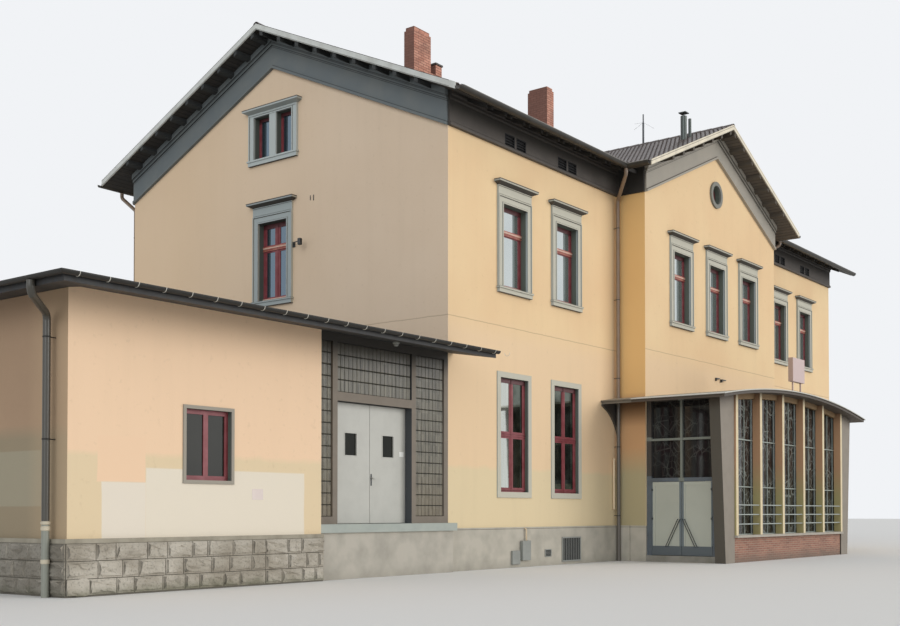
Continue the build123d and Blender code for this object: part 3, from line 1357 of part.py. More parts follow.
# Goods doors, two leaves that swing into the annex
DOCK_LEAF_WIDTH = (DOCK_DOOR_WIDTH - 2 * DOOR_GAP - MEETING_GAP) / 2
DOCK_LEAF_Y = (BLOCK_FRAME_DEPTH - DOCK_LEAF, BLOCK_FRAME_DEPTH)
DOCK_LEAF_Z = (ANNEX_FLOOR_TOP + FLOOR_GAP, DOCK_DOOR_HEAD - DOOR_GAP)
DOCK_PANE_Z = (DOCK_PANE_FOOT, DOCK_PANE_FOOT + DOCK_PANE_HEIGHT)
GOODS_JAMBS = {"left": (DOCK_DOOR_LEFT, 1), "right": (DOCK_DOOR_RIGHT, -1)}
GOODS_PLATES = (BLOCK_FRAME_DEPTH, BLOCK_FRAME_DEPTH + HINGE_PLATE)
GOODS_HINGE_Y = BLOCK_FRAME_DEPTH + HINGE_OFFSET
for side, (jamb, inward) in GOODS_JAMBS.items():
    edge = jamb + inward * DOOR_GAP
    far_edge = edge + inward * DOCK_LEAF_WIDTH
    pane_middle = edge + inward * DOCK_PANE_INSET
    pane = (pane_middle - DOCK_PANE_WIDTH / 2, pane_middle + DOCK_PANE_WIDTH / 2)
    with BuildPart() as dock_leaf:
        block(between(edge, far_edge), DOCK_LEAF_Y, DOCK_LEAF_Z)
        block(pane, DOCK_LEAF_Y, DOCK_PANE_Z, Mode.SUBTRACT)
        wing = (between(edge, edge + inward * HINGE_WING), GOODS_PLATES)
        leaf_knuckles((jamb + inward * KNUCKLE_RADIUS, GOODS_HINGE_Y), wing, DOCK_LEAF_Z)
        if side == "right":
            front = DOCK_LEAF_Y[0]
            lever_z = (LEVER_HEIGHT - LEVER_SIZE / 2, LEVER_HEIGHT + LEVER_SIZE / 2)
            neck = far_edge + LEVER_INSET
            neck_x = (neck - LEVER_SIZE / 2, neck + LEVER_SIZE / 2)
            grip_x = (neck - LEVER_SIZE / 2, neck + LEVER_LENGTH)
            block(neck_x, (front - LEVER_INSET, front), lever_z)
            block(grip_x, (front - LEVER_INSET, front - LEVER_INSET + LEVER_SIZE), lever_z)
    save(dock_leaf, f"goods_door_{side}")
    middle_y = (DOCK_LEAF_Y[0] + DOCK_LEAF_Y[1]) / 2
    with BuildPart() as dock_pane:
        block(pane, (middle_y - GLASS / 2, middle_y + GLASS / 2), DOCK_PANE_Z)
    save(dock_pane, f"goods_door_pane_{side}")


# Vestibule
def vault_band(top_drop, foot_drop, half):
    """Draw the vault's section between two arcs that share its centre."""
    with BuildLine() as outline:
        arcs = []
        for drop in (top_drop, foot_drop):
            radius = VAULT_RADIUS - drop
            rise = math.sqrt(radius**2 - half**2) - VAULT_RADIUS
            edge = VAULT_APEX + rise
            arcs.append(
                ThreePointArc(
                    (RISALIT_CENTRE - half, edge),
                    (RISALIT_CENTRE, VAULT_APEX - drop),
                    (RISALIT_CENTRE + half, edge),
                )
            )
        Line(arcs[0] @ 0, arcs[1] @ 0)
        Line(arcs[0] @ 1, arcs[1] @ 1)
    make_face(outline.line)


def trim_under_vault(drop):
    """Cut the open part to an arc that lies below the vault's upper face."""
    with BuildSketch(Plane.XZ.offset(-VAULT_FRONT)) as above:
        vault_band(-2 * VAULT_APEX, drop, VAULT_HALF)
    extrude(above.sketch, amount=VAULT_FRONT, mode=Mode.SUBTRACT)


with BuildPart() as vault_roof:
    for top, foot, inset in ((0, VAULT_FLANGE, 0), (VAULT_FLANGE, VAULT_SLAB, VAULT_REBATE)):
        with BuildSketch(Plane.XZ.offset(-VAULT_FRONT - inset)):
            vault_band(top, foot, VAULT_HALF - inset)
        extrude(amount=VAULT_FRONT + inset)
    block((RISALIT_LEFT, RISALIT_RIGHT), (RISALIT_FRONT, 0), (0, RIDGE_TOP), Mode.SUBTRACT)
    with BuildSketch(Plane.XY):
        with Locations(*[(x, -PIPE_LINE) for x in FRONT_PIPES]):
            Circle(DOWNPIPE_RADIUS + DOWNPIPE_COLLAR)
    extrude(amount=VAULT_APEX, mode=Mode.SUBTRACT)
save(vault_roof, "vault_roof")

with BuildPart() as portal_piers:
    with BuildSketch(Plane.XZ.offset(-PIER_FRONT)):
        for side in (-1, 1):
            with BuildLine():
                Polyline(
                    (RISALIT_CENTRE + side * PIER_INNER, 0),
                    (RISALIT_CENTRE + side * PIER_OUTER_FOOT, 0),
                    (RISALIT_CENTRE + side * PIER_OUTER_HEAD, VAULT_APEX),
                    (RISALIT_CENTRE + side * PIER_INNER, VAULT_APEX),
                    close=True,
                )
            make_face()
    extrude(amount=-PIER_DEPTH)
    trim_under_vault(VAULT_SLAB)
save(portal_piers, "portal_piers")

with BuildPart() as mullion_fins:
    for i in range(FIN_COUNT):
        x = RISALIT_CENTRE - PIER_INNER + FIN_WIDTH / 2 + i * FIN_PITCH
        block(
            (x - FIN_WIDTH / 2, x + FIN_WIDTH / 2),
            (FIN_FRONT, GLAZING_FRONT),
            (SILL_TOP, VAULT_APEX),
        )
    trim_under_vault(VAULT_SLAB)
save(mullion_fins, "mullion_fins")

with BuildPart() as brick_base:
    block(
        (RISALIT_CENTRE - PIER_INNER, RISALIT_CENTRE + PIER_INNER),
        (PIER_FRONT + BRICK_SETBACK, PIER_BACK),
        (0, BRICK_TOP),
    )
save(brick_base, "brick_base")

with BuildPart() as window_sill:
    block(
        (RISALIT_CENTRE - PIER_INNER, RISALIT_CENTRE + PIER_INNER),
        (FIN_FRONT - SILL_NOSE, PIER_BACK),
        (BRICK_TOP, SILL_TOP),
    )
save(window_sill, "window_sill")

BAY_WIDTH = FIN_PITCH - FIN_WIDTH
with BuildPart() as glazing_frames:
    with BuildSketch(Plane.XZ.offset(-GLAZING_FRONT)):
        panel(
            (RISALIT_CENTRE - PIER_INNER, RISALIT_CENTRE + PIER_INNER),
            (SILL_TOP, VAULT_APEX),
        )
        for i in range(FIN_COUNT - 1):
            left = RISALIT_CENTRE - PIER_INNER + FIN_WIDTH + i * FIN_PITCH + GLAZING_BAR
            right = left + BAY_WIDTH - 2 * GLAZING_BAR
            head = min(vault_height(left), vault_height(right)) - VAULT_SLAB - HEAD_BEAM
            split_x = left + GLAZING_SPLIT * (right - left)
            lows = [z + GLAZING_BAR for z in (SILL_TOP, *GLAZING_BARS_Z)]
            for u_range in ((left, split_x - GLAZING_BAR / 2), (split_x + GLAZING_BAR / 2, right)):
                for low, high in zip(lows, (*GLAZING_BARS_Z, head)):
                    panel(u_range, (low, high), Mode.SUBTRACT)
    extrude(amount=-GLAZING_DEPTH)
    trim_under_vault(VAULT_SLAB)
save(glazing_frames, "glazing_frames")

with BuildPart() as guard_rails:
    for i in range(FIN_COUNT - 1):
        left = RISALIT_CENTRE - PIER_INNER + FIN_WIDTH + i * FIN_PITCH
        for z in RAIL_HEIGHTS:
            with BuildSketch(Plane.YZ.offset(left)):
                with Locations((FIN_FRONT + 3 * RAIL_RADIUS, z)):
                    Circle(RAIL_RADIUS)
            extrude(amount=BAY_WIDTH)
save(guard_rails, "guard_rails")

with BuildPart() as vestibule_floor:
    block(
        (RISALIT_LEFT, RISALIT_RIGHT),
        (PIER_BACK, RISALIT_FRONT),
        (0, VESTIBULE_FLOOR),
    )
save(vestibule_floor, "vestibule_floor")

# Side screens of the vestibule, with the entrance doors in the left one
SCREEN_X = RISALIT_LEFT + SCREEN_SETBACK
SCREENS = ((SCREEN_X, 1), (RISALIT_RIGHT - SCREEN_SETBACK, -1))
ENTRANCE_Y = (PIER_BACK + SCREEN_POST, RISALIT_FRONT - SCREEN_POST)
SCREEN_HEAD = ENTRANCE_HEAD + SCREEN_TRANSOM

with BuildPart() as screen_posts:
    for face, inward in SCREENS:
        x_range = between(face, face + inward * SCREEN_DEPTH)
        for y_range in ((PIER_BACK, ENTRANCE_Y[0]), (ENTRANCE_Y[1], RISALIT_FRONT)):
            block(x_range, y_range, (VESTIBULE_FLOOR, ENTRANCE_HEAD))
save(screen_posts, "screen_posts")

with BuildPart() as screen_windows:
    for face, inward in SCREENS:
        with BuildSketch(Plane.YZ.offset(face)):
            panel((PIER_BACK, RISALIT_FRONT), (ENTRANCE_HEAD, VAULT_APEX))
            middle = (ENTRANCE_Y[0] + ENTRANCE_Y[1]) / 2
            edge_height = vault_height(face) - VAULT_SLAB - SCREEN_BAR
            middle_z = (SCREEN_HEAD + edge_height) / 2
            for y_range in (
                (ENTRANCE_Y[0], middle - SCREEN_BAR / 2),
                (middle + SCREEN_BAR / 2, ENTRANCE_Y[1]),
            ):
                for z_range in (
                    (SCREEN_HEAD, middle_z - SCREEN_BAR / 2),
                    (middle_z + SCREEN_BAR / 2, edge_height),
                ):
                    panel(y_range, z_range, Mode.SUBTRACT)
        extrude(amount=inward * SCREEN_DEPTH)
    trim_under_vault(VAULT_SLAB)
save(screen_windows, "screen_windows")

with BuildPart() as vestibule_glass:
    block(
        (RISALIT_CENTRE - PIER_INNER, RISALIT_CENTRE + PIER_INNER),
        (GLAZING_FRONT + GLAZING_DEPTH, GLAZING_FRONT + GLAZING_DEPTH + GLASS),
        (SILL_TOP, VAULT_APEX),
    )
    for face, inward in SCREENS:
        inner = face + inward * SCREEN_DEPTH
        outer = inner + inward * GLASS
        block(
            between(inner, outer),
            (ENTRANCE_Y[0] - SCREEN_BAR, ENTRANCE_Y[1] + SCREEN_BAR),
            (SCREEN_HEAD - SCREEN_BAR, VAULT_APEX),
        )
    trim_under_vault(VAULT_SLAB)
save(vestibule_glass, "vestibule_glass")

ENTRANCE_MIDDLE = sum(ENTRANCE_Y) / 2
ENTRANCE_LEAF_WIDTH = (ENTRANCE_Y[1] - ENTRANCE_Y[0] - 2 * DOOR_GAP - MEETING_GAP) / 2
ENTRANCE_Z = (VESTIBULE_FLOOR + FLOOR_GAP, ENTRANCE_HEAD - DOOR_GAP)


def pull_bars(face, inward, meeting, away):
    """Slant a pair of pull bars from a leaf's meeting edge down to its kick plate."""
    foot = ENTRANCE_Z[0] + LEAF_KICK - PULL_BAR
    slope = PULL_REACH * ENTRANCE_LEAF_WIDTH / (PULL_HEAD - foot)
    for first in (PULL_BAR, PULL_BAR + PULL_SPACING):
        for low, high, depth in (
            (foot, PULL_HEAD, PULL_BAR),
            (foot, foot + PULL_BAR, PULL_STANDOFF),
            (PULL_HEAD - PULL_BAR, PULL_HEAD, PULL_STANDOFF),
        ):
            low_y, high_y = (
                meeting + away * (first + slope * (PULL_HEAD - height)) for height in (low, high)
            )
            with BuildSketch(Plane.YZ.offset(face - inward * PULL_STANDOFF)) as bar:
                Polygon(
                    (low_y, low),
                    (low_y + away * PULL_BAR, low),
                    (high_y + away * PULL_BAR, high),
                    (high_y, high),
                    align=None,
                )
            extrude(bar.sketch, amount=inward * depth)


def entrance_leaf(face, inward, y_range):
    """Model one framed leaf with a panel recessed in its outer side and its pull bars."""
    inner = face + inward * ENTRANCE_LEAF
    recess = face + inward * PANEL_RECESS
    block(between(face, inner), y_range, ENTRANCE_Z)
    block(
        between(face, recess),
        (y_range[0] + LEAF_STILE, y_range[1] - LEAF_STILE),
        (ENTRANCE_Z[0] + LEAF_KICK, ENTRANCE_Z[1] - LEAF_STILE),
        Mode.SUBTRACT,
    )
    if sum(y_range) / 2 < ENTRANCE_MIDDLE:
        pull_bars(face, inward, y_range[1], -1)
    else:
        pull_bars(face, inward, y_range[0], 1)


ENTRANCE_JAMBS = {"left": (ENTRANCE_Y[1], -1), "right": (ENTRANCE_Y[0], 1)}
ENTRANCE_PLATES = (SCREEN_X - HINGE_PLATE, SCREEN_X)
ENTRANCE_HINGE_X = SCREEN_X - HINGE_OFFSET
for side, (jamb, inward) in ENTRANCE_JAMBS.items():
    edge = jamb + inward * DOOR_GAP
    with BuildPart() as entrance_door:
        leaf_range = between(edge, edge + inward * ENTRANCE_LEAF_WIDTH)
        entrance_leaf(SCREENS[0][0], SCREENS[0][1], leaf_range)
        wing = (ENTRANCE_PLATES, between(edge, edge + inward * HINGE_WING))
        leaf_knuckles((ENTRANCE_HINGE_X, jamb + inward * KNUCKLE_RADIUS), wing, ENTRANCE_Z)
    save(entrance_door, f"entrance_door_{side}")

with BuildPart() as door_hinges:
    for jamb, inward in GOODS_JAMBS.values():
        wing = (between(jamb - inward * HINGE_WING, jamb + inward * HINGE_LAP), GOODS_PLATES)
        frame_knuckles((jamb + inward * KNUCKLE_RADIUS, GOODS_HINGE_Y), wing, DOCK_LEAF_Z)
    for jamb, inward in ENTRANCE_JAMBS.values():
        wing = (ENTRANCE_PLATES, between(jamb - inward * HINGE_WING, jamb + inward * HINGE_LAP))
        frame_knuckles((ENTRANCE_HINGE_X, jamb + inward * KNUCKLE_RADIUS), wing, ENTRANCE_Z)
save(door_hinges, "door_hinges")

FIXED_RANGES = (
    (ENTRANCE_Y[0], ENTRANCE_MIDDLE - MEETING_GAP / 2),
    (ENTRANCE_MIDDLE + MEETING_GAP / 2, ENTRANCE_Y[1]),
)
with BuildPart() as fixed_side_doors:
    for y_range in FIXED_RANGES:
        entrance_leaf(SCREENS[1][0], SCREENS[1][1], y_range)
save(fixed_side_doors, "fixed_side_doors")

# Brackets under the vault's wings, curved gussets that stand on the risalit's side walls
with BuildPart() as canopy_brackets:
    for side, wall in ((-1, RISALIT_LEFT), (1, RISALIT_RIGHT)):
        edge = RISALIT_CENTRE + side * (VAULT_HALF - VAULT_REBATE)
        tip_z = vault_height(edge) - VAULT_SLAB
        with BuildSketch(Plane.XZ):
            with BuildLine():
                top = Line((edge, VAULT_APEX), (wall, VAULT_APEX))
                back = Line(top @ 1, (wall, tip_z - BRACKET_DROP))
                curve = SagittaArc(back @ 1, (edge, tip_z - BRACKET_THICKNESS), side * BRACKET_BOW)
                Line(curve @ 1, top @ 0)
            make_face()
        extrude(amount=BRACKET_THICKNESS)
    trim_under_vault(VAULT_SLAB)
save(canopy_brackets, "canopy_brackets")

# Blank sign box on two short posts
with BuildPart() as sign_box:
    foot = vault_height(SIGN_X) - VAULT_SLAB / 2
    sign_foot = vault_height(SIGN_X) + SIGN_POST_HEIGHT
    for side in (-1, 1):
        x = SIGN_X + side * SIGN_WIDTH / 3
        block(
            (x - SIGN_POST / 2, x + SIGN_POST / 2),
            (SIGN_Y - SIGN_POST / 2, SIGN_Y + SIGN_POST / 2),
            (foot, sign_foot),
        )
    block(
        (SIGN_X - SIGN_WIDTH / 2, SIGN_X + SIGN_WIDTH / 2),
        (SIGN_Y - SIGN_THICKNESS / 2, SIGN_Y + SIGN_THICKNESS / 2),
        (sign_foot, sign_foot + SIGN_HEIGHT),
    )
    add(vault_roof.part, mode=Mode.SUBTRACT)
save(sign_box, "sign_box")
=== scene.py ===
"""Dresses the railway station building: renders, tiles, stones, joinery, glass and metalwork.

Places are written in metres from the near corner of the two-storey block's front wall, X along
the long front, Y into the depth and Z over the ground. The function place() moves them into the
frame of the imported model.
"""

import logging
import math
from dataclasses import dataclass
from enum import Enum
from typing import ClassVar, Optional, Sequence, Union

import bpy
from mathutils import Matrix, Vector


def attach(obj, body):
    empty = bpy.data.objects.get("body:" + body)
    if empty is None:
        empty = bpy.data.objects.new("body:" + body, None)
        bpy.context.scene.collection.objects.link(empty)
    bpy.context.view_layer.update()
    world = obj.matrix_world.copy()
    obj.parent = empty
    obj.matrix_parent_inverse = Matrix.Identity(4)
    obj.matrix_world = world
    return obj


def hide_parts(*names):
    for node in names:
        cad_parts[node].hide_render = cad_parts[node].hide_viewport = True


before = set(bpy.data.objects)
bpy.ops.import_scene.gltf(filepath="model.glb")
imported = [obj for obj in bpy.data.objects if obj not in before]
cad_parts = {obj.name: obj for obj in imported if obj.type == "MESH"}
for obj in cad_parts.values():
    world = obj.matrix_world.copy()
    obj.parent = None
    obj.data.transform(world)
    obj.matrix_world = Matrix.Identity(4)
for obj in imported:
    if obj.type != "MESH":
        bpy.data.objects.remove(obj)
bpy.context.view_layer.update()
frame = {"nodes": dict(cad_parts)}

log = logging.getLogger("station")

Node = bpy.types.Node
Piece = bpy.types.Object
Socket = bpy.types.NodeSocket
Point = tuple[float, float, float]
Source = Union[float, tuple, Socket]

CORNER = Vector((-7.454, -4.5055, 0.0))

MAIN_LENGTH = 25.77
MAIN_DEPTH = 11.91
MAIN_MIDDLE = MAIN_DEPTH / 2
RIDGE_TOP = 14.41
EAVE_TOP = 11.34
EAVE_OVERHANG = 0.72
VERGE_OVERHANG = 0.676
MAIN_PITCH = math.atan((RIDGE_TOP - EAVE_TOP) / (MAIN_MIDDLE + EAVE_OVERHANG))
BAY_LEFT = 8.1
BAY_RIGHT = 17.66
BAY_MIDDLE = (BAY_LEFT + BAY_RIGHT) / 2
BAY_FRONT = -0.945
BAY_RIDGE = 13.725
BAY_EAVE = 11.296
BAY_OVERHANG = 0.77
BAY_VERGE = BAY_FRONT - 0.644
BAY_PITCH = math.atan((BAY_RIDGE - BAY_EAVE) / ((BAY_RIGHT - BAY_LEFT) / 2 + BAY_OVERHANG))
CRACK_HEIGHT = 6.14
ANNEX_LEFT = -10.64
ANNEX_FRONT = -0.266
ANNEX_BACK = 8.734
ANNEX_PLINTH_TOP = 0.965
PLINTH_TOP = 1.03
ANNEX_CAP = 0.075
DOCK_LEFT = -4.616
VAULT_APEX = 5.07
VAULT_RADIUS = 36.37
VALLEY_HEAD = MAIN_MIDDLE - (RIDGE_TOP - BAY_RIDGE) / math.tan(MAIN_PITCH)
BAY_RUN = BAY_MIDDLE - BAY_LEFT + BAY_OVERHANG

UPPER_STOREY = (7.14, 9.265)
LOWER_STOREY = (1.93, 4.84)
ATTIC_STOREY = (11.04, 12.215)
WING_WINDOWS = (2.79, 5.31, 20.455, 22.975)
BAY_WINDOWS = (10.4, 12.88, 15.36)
UPPER_HALF = 0.545
LOWER_HALF = 0.6275
ATTIC_HALF = 0.725
OCULUS = (12.88, 11.61, 0.3)

Span = tuple[float, float, float, float]


def storey(middles: Sequence[float], half: float, heights: tuple[float, float]) -> tuple[
    Span, ...
]:
    """Return the openings of one storey as left, right, foot and head.

    Args:
        middles: Places of the windows' middles along the wall.
        half: Half the width of a window.
        heights: Foot and head of the openings.

    Returns:
        One span for each window.
    """
    return tuple((middle - half, middle + half, *heights) for middle in middles)


UPPER_OPENINGS = storey(WING_WINDOWS + BAY_WINDOWS, UPPER_HALF, UPPER_STOREY)
FRONT_OPENINGS = UPPER_OPENINGS + storey(WING_WINDOWS, LOWER_HALF, LOWER_STOREY)
BACK_OPENINGS = FRONT_OPENINGS + storey(BAY_WINDOWS, LOWER_HALF, LOWER_STOREY)
GABLE_OPENINGS = (
    *storey((MAIN_MIDDLE,), UPPER_HALF, UPPER_STOREY),
    *storey((MAIN_MIDDLE,), ATTIC_HALF, ATTIC_STOREY),
)
FAR_GABLE_OPENINGS = GABLE_OPENINGS + storey((MAIN_MIDDLE,), LOWER_HALF, LOWER_STOREY)
ANNEX_OPENINGS = storey((-7.612,), UPPER_HALF, (2.0, 3.305))
ATTIC_LIGHTS = storey((MAIN_MIDDLE - 0.425, MAIN_MIDDLE + 0.425), 0.3, ATTIC_STOREY)
VENT_MIDDLES = tuple(m + s * 0.26 for m in WING_WINDOWS + BAY_WINDOWS for s in (-1, 1))
VENT_OPENINGS = storey(VENT_MIDDLES, 0.195, (10.79, 11.06))


class Body(Enum):
    """The rigid bodies that pieces ride on."""

    BUILDING = "building"
    GOODS_LEFT = "goods_leaf_left"
    GOODS_RIGHT = "goods_leaf_right"


class Axis(Enum):
    """Directions along which a piece is repeated or a pattern runs."""

    X = 0
    Y = 1
    Z = 2


def place(x: float, y: float, z: float) -> Vector:
    """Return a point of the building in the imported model's frame.

    Args:
        x: Metres along the long front from the near corner.
        y: Metres into the depth from the front wall.
        z: Metres over the ground.

    Returns:
        The same point in the model's frame.
    """
    return Vector((x, y, z)) + CORNER


def vault_height(x: float) -> float:
    """Return the height of the vestibule's vault over a place along the front."""
    off = x - BAY_MIDDLE
    return VAULT_APEX - off * off / (2 * VAULT_RADIUS)


def linear(hex_colour: str) -> tuple[float, float, float, float]:
    """Turn an sRGB hex colour into linear values for a shader.

    Args:
        hex_colour: Six hex digits, with or without a leading hash.

    Returns:
        Linear red, green and blue with full alpha.
    """
    digits = hex_colour.lstrip("#")
    channels = [int(digits[i : i + 2], 16) / 255 for i in (0, 2, 4)]
    values = [c / 12.92 if c <= 0.04045 else ((c + 0.055) / 1.055) ** 2.4 for c in channels]
    return values[0], values[1], values[2], 1.0


def add_node(
    tree: bpy.types.NodeTree,
    kind: str,
    inputs: Optional[dict[Union[str, int], Source]] = None,
    **settings: object,
) -> Node:
    """Add one node with its settings, values and links.

    Args:
        tree: The node tree that gets the node.
        kind: The node's type name.
        inputs: Socket name or index to a value or to the socket that feeds it.
        **settings: The node's own properties.

    Returns:
        The new node.
    """
    node = tree.nodes.new(kind)
    for name, value in settings.items():
        setattr(node, name, value)
    for key, value in (inputs or {}).items():
        socket = node.inputs[key]
        if isinstance(value, Socket):
            tree.links.new(value, socket)
        else:
            socket.default_value = value
    return node


JOBS: dict[str, tuple[str, tuple[Union[str, int], ...], Union[str, int], dict[str, str]]] = {
    "NOISE": ("ShaderNodeTexNoise", ("Scale", "Detail", "Vector"), "Fac", {}),
    "RAMP": ("ShaderNodeMapRange", ("Value", "From Min", "From Max", "To Max"), "Result", {}),
    "SPAN": ("ShaderNodeMapRange", ("Value", "To Min", "To Max"), "Result", {}),
    "MIX": ("ShaderNodeMix", (0, 6, 7), 2, {"data_type": "RGBA"}),
    "BUMP": ("ShaderNodeBump", ("Height", "Distance", "Strength"), "Normal", {}),
}


class Recipe:
    """Small node arrangements that several finishes share.

    JOBS names the nodes that they are made of: the type, the sockets that the values go to in
    their order, the socket that is read, and the settings.
    """

    def __init__(self, tree: bpy.types.NodeTree) -> None:
        """Start a recipe whose coordinates are the building's own metres.

        Args:
            tree: The material's node tree.
        """
        self.tree = tree
        coordinates = add_node(tree, "ShaderNodeTexCoord").outputs["Object"]
        shift = {"Vector": coordinates, "Location": tuple(-CORNER)}
        self.point = add_node(tree, "ShaderNodeMapping", shift).outputs["Vector"]
        parts = add_node(tree, "ShaderNodeSeparateXYZ", {"Vector": self.point}).outputs
        self.x, self.y, self.z = parts["X"], parts["Y"], parts["Z"]

    def add(self, job: str, *values: Source) -> Socket:
        """Add the node for one job and return what it gives.

        Args:
            job: A name in JOBS, or else the operation of a math node.
            *values: Numbers, colours or sockets for its inputs, in their order. A noise without
                coordinates takes the building's own.

        Returns:
            The node's result.
        """
        math_node = ("ShaderNodeMath", (0, 1), "Value", {"operation": job})
        kind, sockets, output, settings = JOBS.get(job, math_node)
        inputs = dict(zip(sockets, values))
        if "Vector" in sockets:
            inputs.setdefault("Vector", self.point)
        return add_node(self.tree, kind, inputs, **settings).outputs[output]

    def facing(self, axis: Axis, sign: float) -> Socket:
        """Return 1 on faces that look along a direction and 0 on the others."""
        normal = add_node(self.tree, "ShaderNodeTexCoord").outputs["Normal"]
        parts = add_node(self.tree, "ShaderNodeSeparateXYZ", {"Vector": normal}).outputs
        return self.add("RAMP", self.add("MULTIPLY", parts[axis.name], sign), 0.5, 0.7)

    def within(self, value: Source, low: float, high: float) -> Socket:
        """Return 1 between two limits and 0 outside them."""
        over = self.add("GREATER_THAN", value, low)
        return self.add("MULTIPLY", over, self.add("LESS_THAN", value, high))

    def reveals(self, across: Socket, spans: Sequence[Span]) -> Socket:
        """Return 1 on the inside faces of a wall's openings, just past their edges."""
        ease = 0.03
        mask: Source = 0.0
        for left, right, foot, head in spans:
            grown = (left - ease, right + ease, foot - ease, head + ease)
            mask = self.add("MAXIMUM", mask, self.rectangle(across, grown, 0.005))
        return mask

    def drop(self, across: Source, middle: float, top: float, slope: float) -> Socket:
        """Return how far a point lies under a gable roof's plane, measured straight down."""
        off = self.add("ABSOLUTE", self.add("SUBTRACT", across, middle))
        plane = self.add("SUBTRACT", top, self.add("MULTIPLY", off, slope))
        return self.add("SUBTRACT", plane, self.z)

    def vault_drop(self) -> Socket:
        """Return how far a point lies under the vestibule's vault."""
        off = self.add("SUBTRACT", self.x, BAY_MIDDLE)
        sag = self.add("DIVIDE", self.add("MULTIPLY", off, off), 2 * VAULT_RADIUS)
        return self.add("SUBTRACT", self.add("SUBTRACT", VAULT_APEX, sag), self.z)

    def stretched(self, scale: Point) -> Socket:
        """Return the coordinates scaled along each axis."""
        inputs = {"Vector": self.point, "Scale": scale}
        return add_node(self.tree, "ShaderNodeMapping", inputs).outputs["Vector"]

    def wavy(self, scale: float, reach: float) -> Socket:
        """Return the height over the ground with a slow wave on it, in metres."""
        wave = self.add("MULTIPLY", self.add("NOISE", scale, 3.0), reach)
        return self.add("ADD", self.z, wave)

    def over(self, base: Source, mask: Source, paint: str, amount: float = 1.0) -> Socket:
        """Return a colour with a paint laid over it.

        Args:
            base: The colour so far.
            mask: Where the paint lies, from 0 to 1.
            paint: The paint's hex colour.
            amount: How well it covers where the mask is 1.

        Returns:
            The colour's socket.
        """
        if amount != 1.0:
            mask = self.add("SPAN", mask, 0.0, amount)
        return self.add("MIX", mask, base, linear(paint))

    def rectangle(
        self, across: Socket, spans: tuple[float, float, float, float], soft: float
    ) -> Socket:
        """Return 1 inside a rectangle on a wall and 0 outside it.

        Args:
            across: The coordinate along the wall.
            spans: First and last place across, and the lowest and highest height.
            soft: Width of the edge in metres.

        Returns:
            The mask's socket.
        """
        left, right, foot, head = spans
        off_x = self.add("SUBTRACT", across, (left + right) / 2)
        off_z = self.add("SUBTRACT", self.z, (foot + head) / 2)
        over_x = self.add("SUBTRACT", self.add("ABSOLUTE", off_x), (right - left) / 2)
        over_z = self.add("SUBTRACT", self.add("ABSOLUTE", off_z), (head - foot) / 2)
        return self.add("RAMP", self.add("MAXIMUM", over_x, over_z), soft, -soft)

    def stripe(self, value: Source, pitch: float, width: float) -> Socket:
        """Return 1 in narrow lines that repeat along a value, as joints between boards do."""
        turn = self.add("PINGPONG", value, pitch / 2)
        return self.add("RAMP", turn, width / 2, width / 4)


@dataclass(frozen=True)
class Finish:
    """One surface treatment, made into a material once and shared."""

    name: str
    slot: str
    colour: str
    roughness: float = 0.6

    made: ClassVar[dict[str, bpy.types.Material]] = {}

    def shade(self, recipe: Recipe, shader: Node) -> None:
        """Set the shader's colour, bump and gloss.

        Args:
            recipe: The arrangements on the building's coordinates.
            shader: The material's own shader node.
        """
        raise NotImplementedError

    def material(self) -> bpy.types.Material:
        """Return the finish's material, made on its first use."""
        if self.name not in Finish.made:
            material = bpy.data.materials.new(self.name)
            material.use_nodes = True
            shader = material.node_tree.nodes["Principled BSDF"]
            shader.inputs["Base Color"].default_value = linear(self.colour)
            shader.inputs["Roughness"].default_value = self.roughness
            self.shade(Recipe(material.node_tree), shader)
            Finish.made[self.name] = material
        return Finish.made[self.name]

    def dress(self, *pieces: Piece) -> None:
        """Put the finish on whole objects."""
        for piece in pieces:
            piece.data.materials.clear()
            piece.data.materials.append(self.material())

    def dress_nodes(self, *names: str) -> None:
        """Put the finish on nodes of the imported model."""
        for name in names:
            self.dress(frame["nodes"][name])


def feed(shader: Node, **sockets: Socket) -> None:
    """Link values into a shader, with underscores in place of the spaces in socket names."""
    for name, socket in sockets.items():
        shader.id_data.links.new(socket, shader.inputs[name.replace("_", " ")])


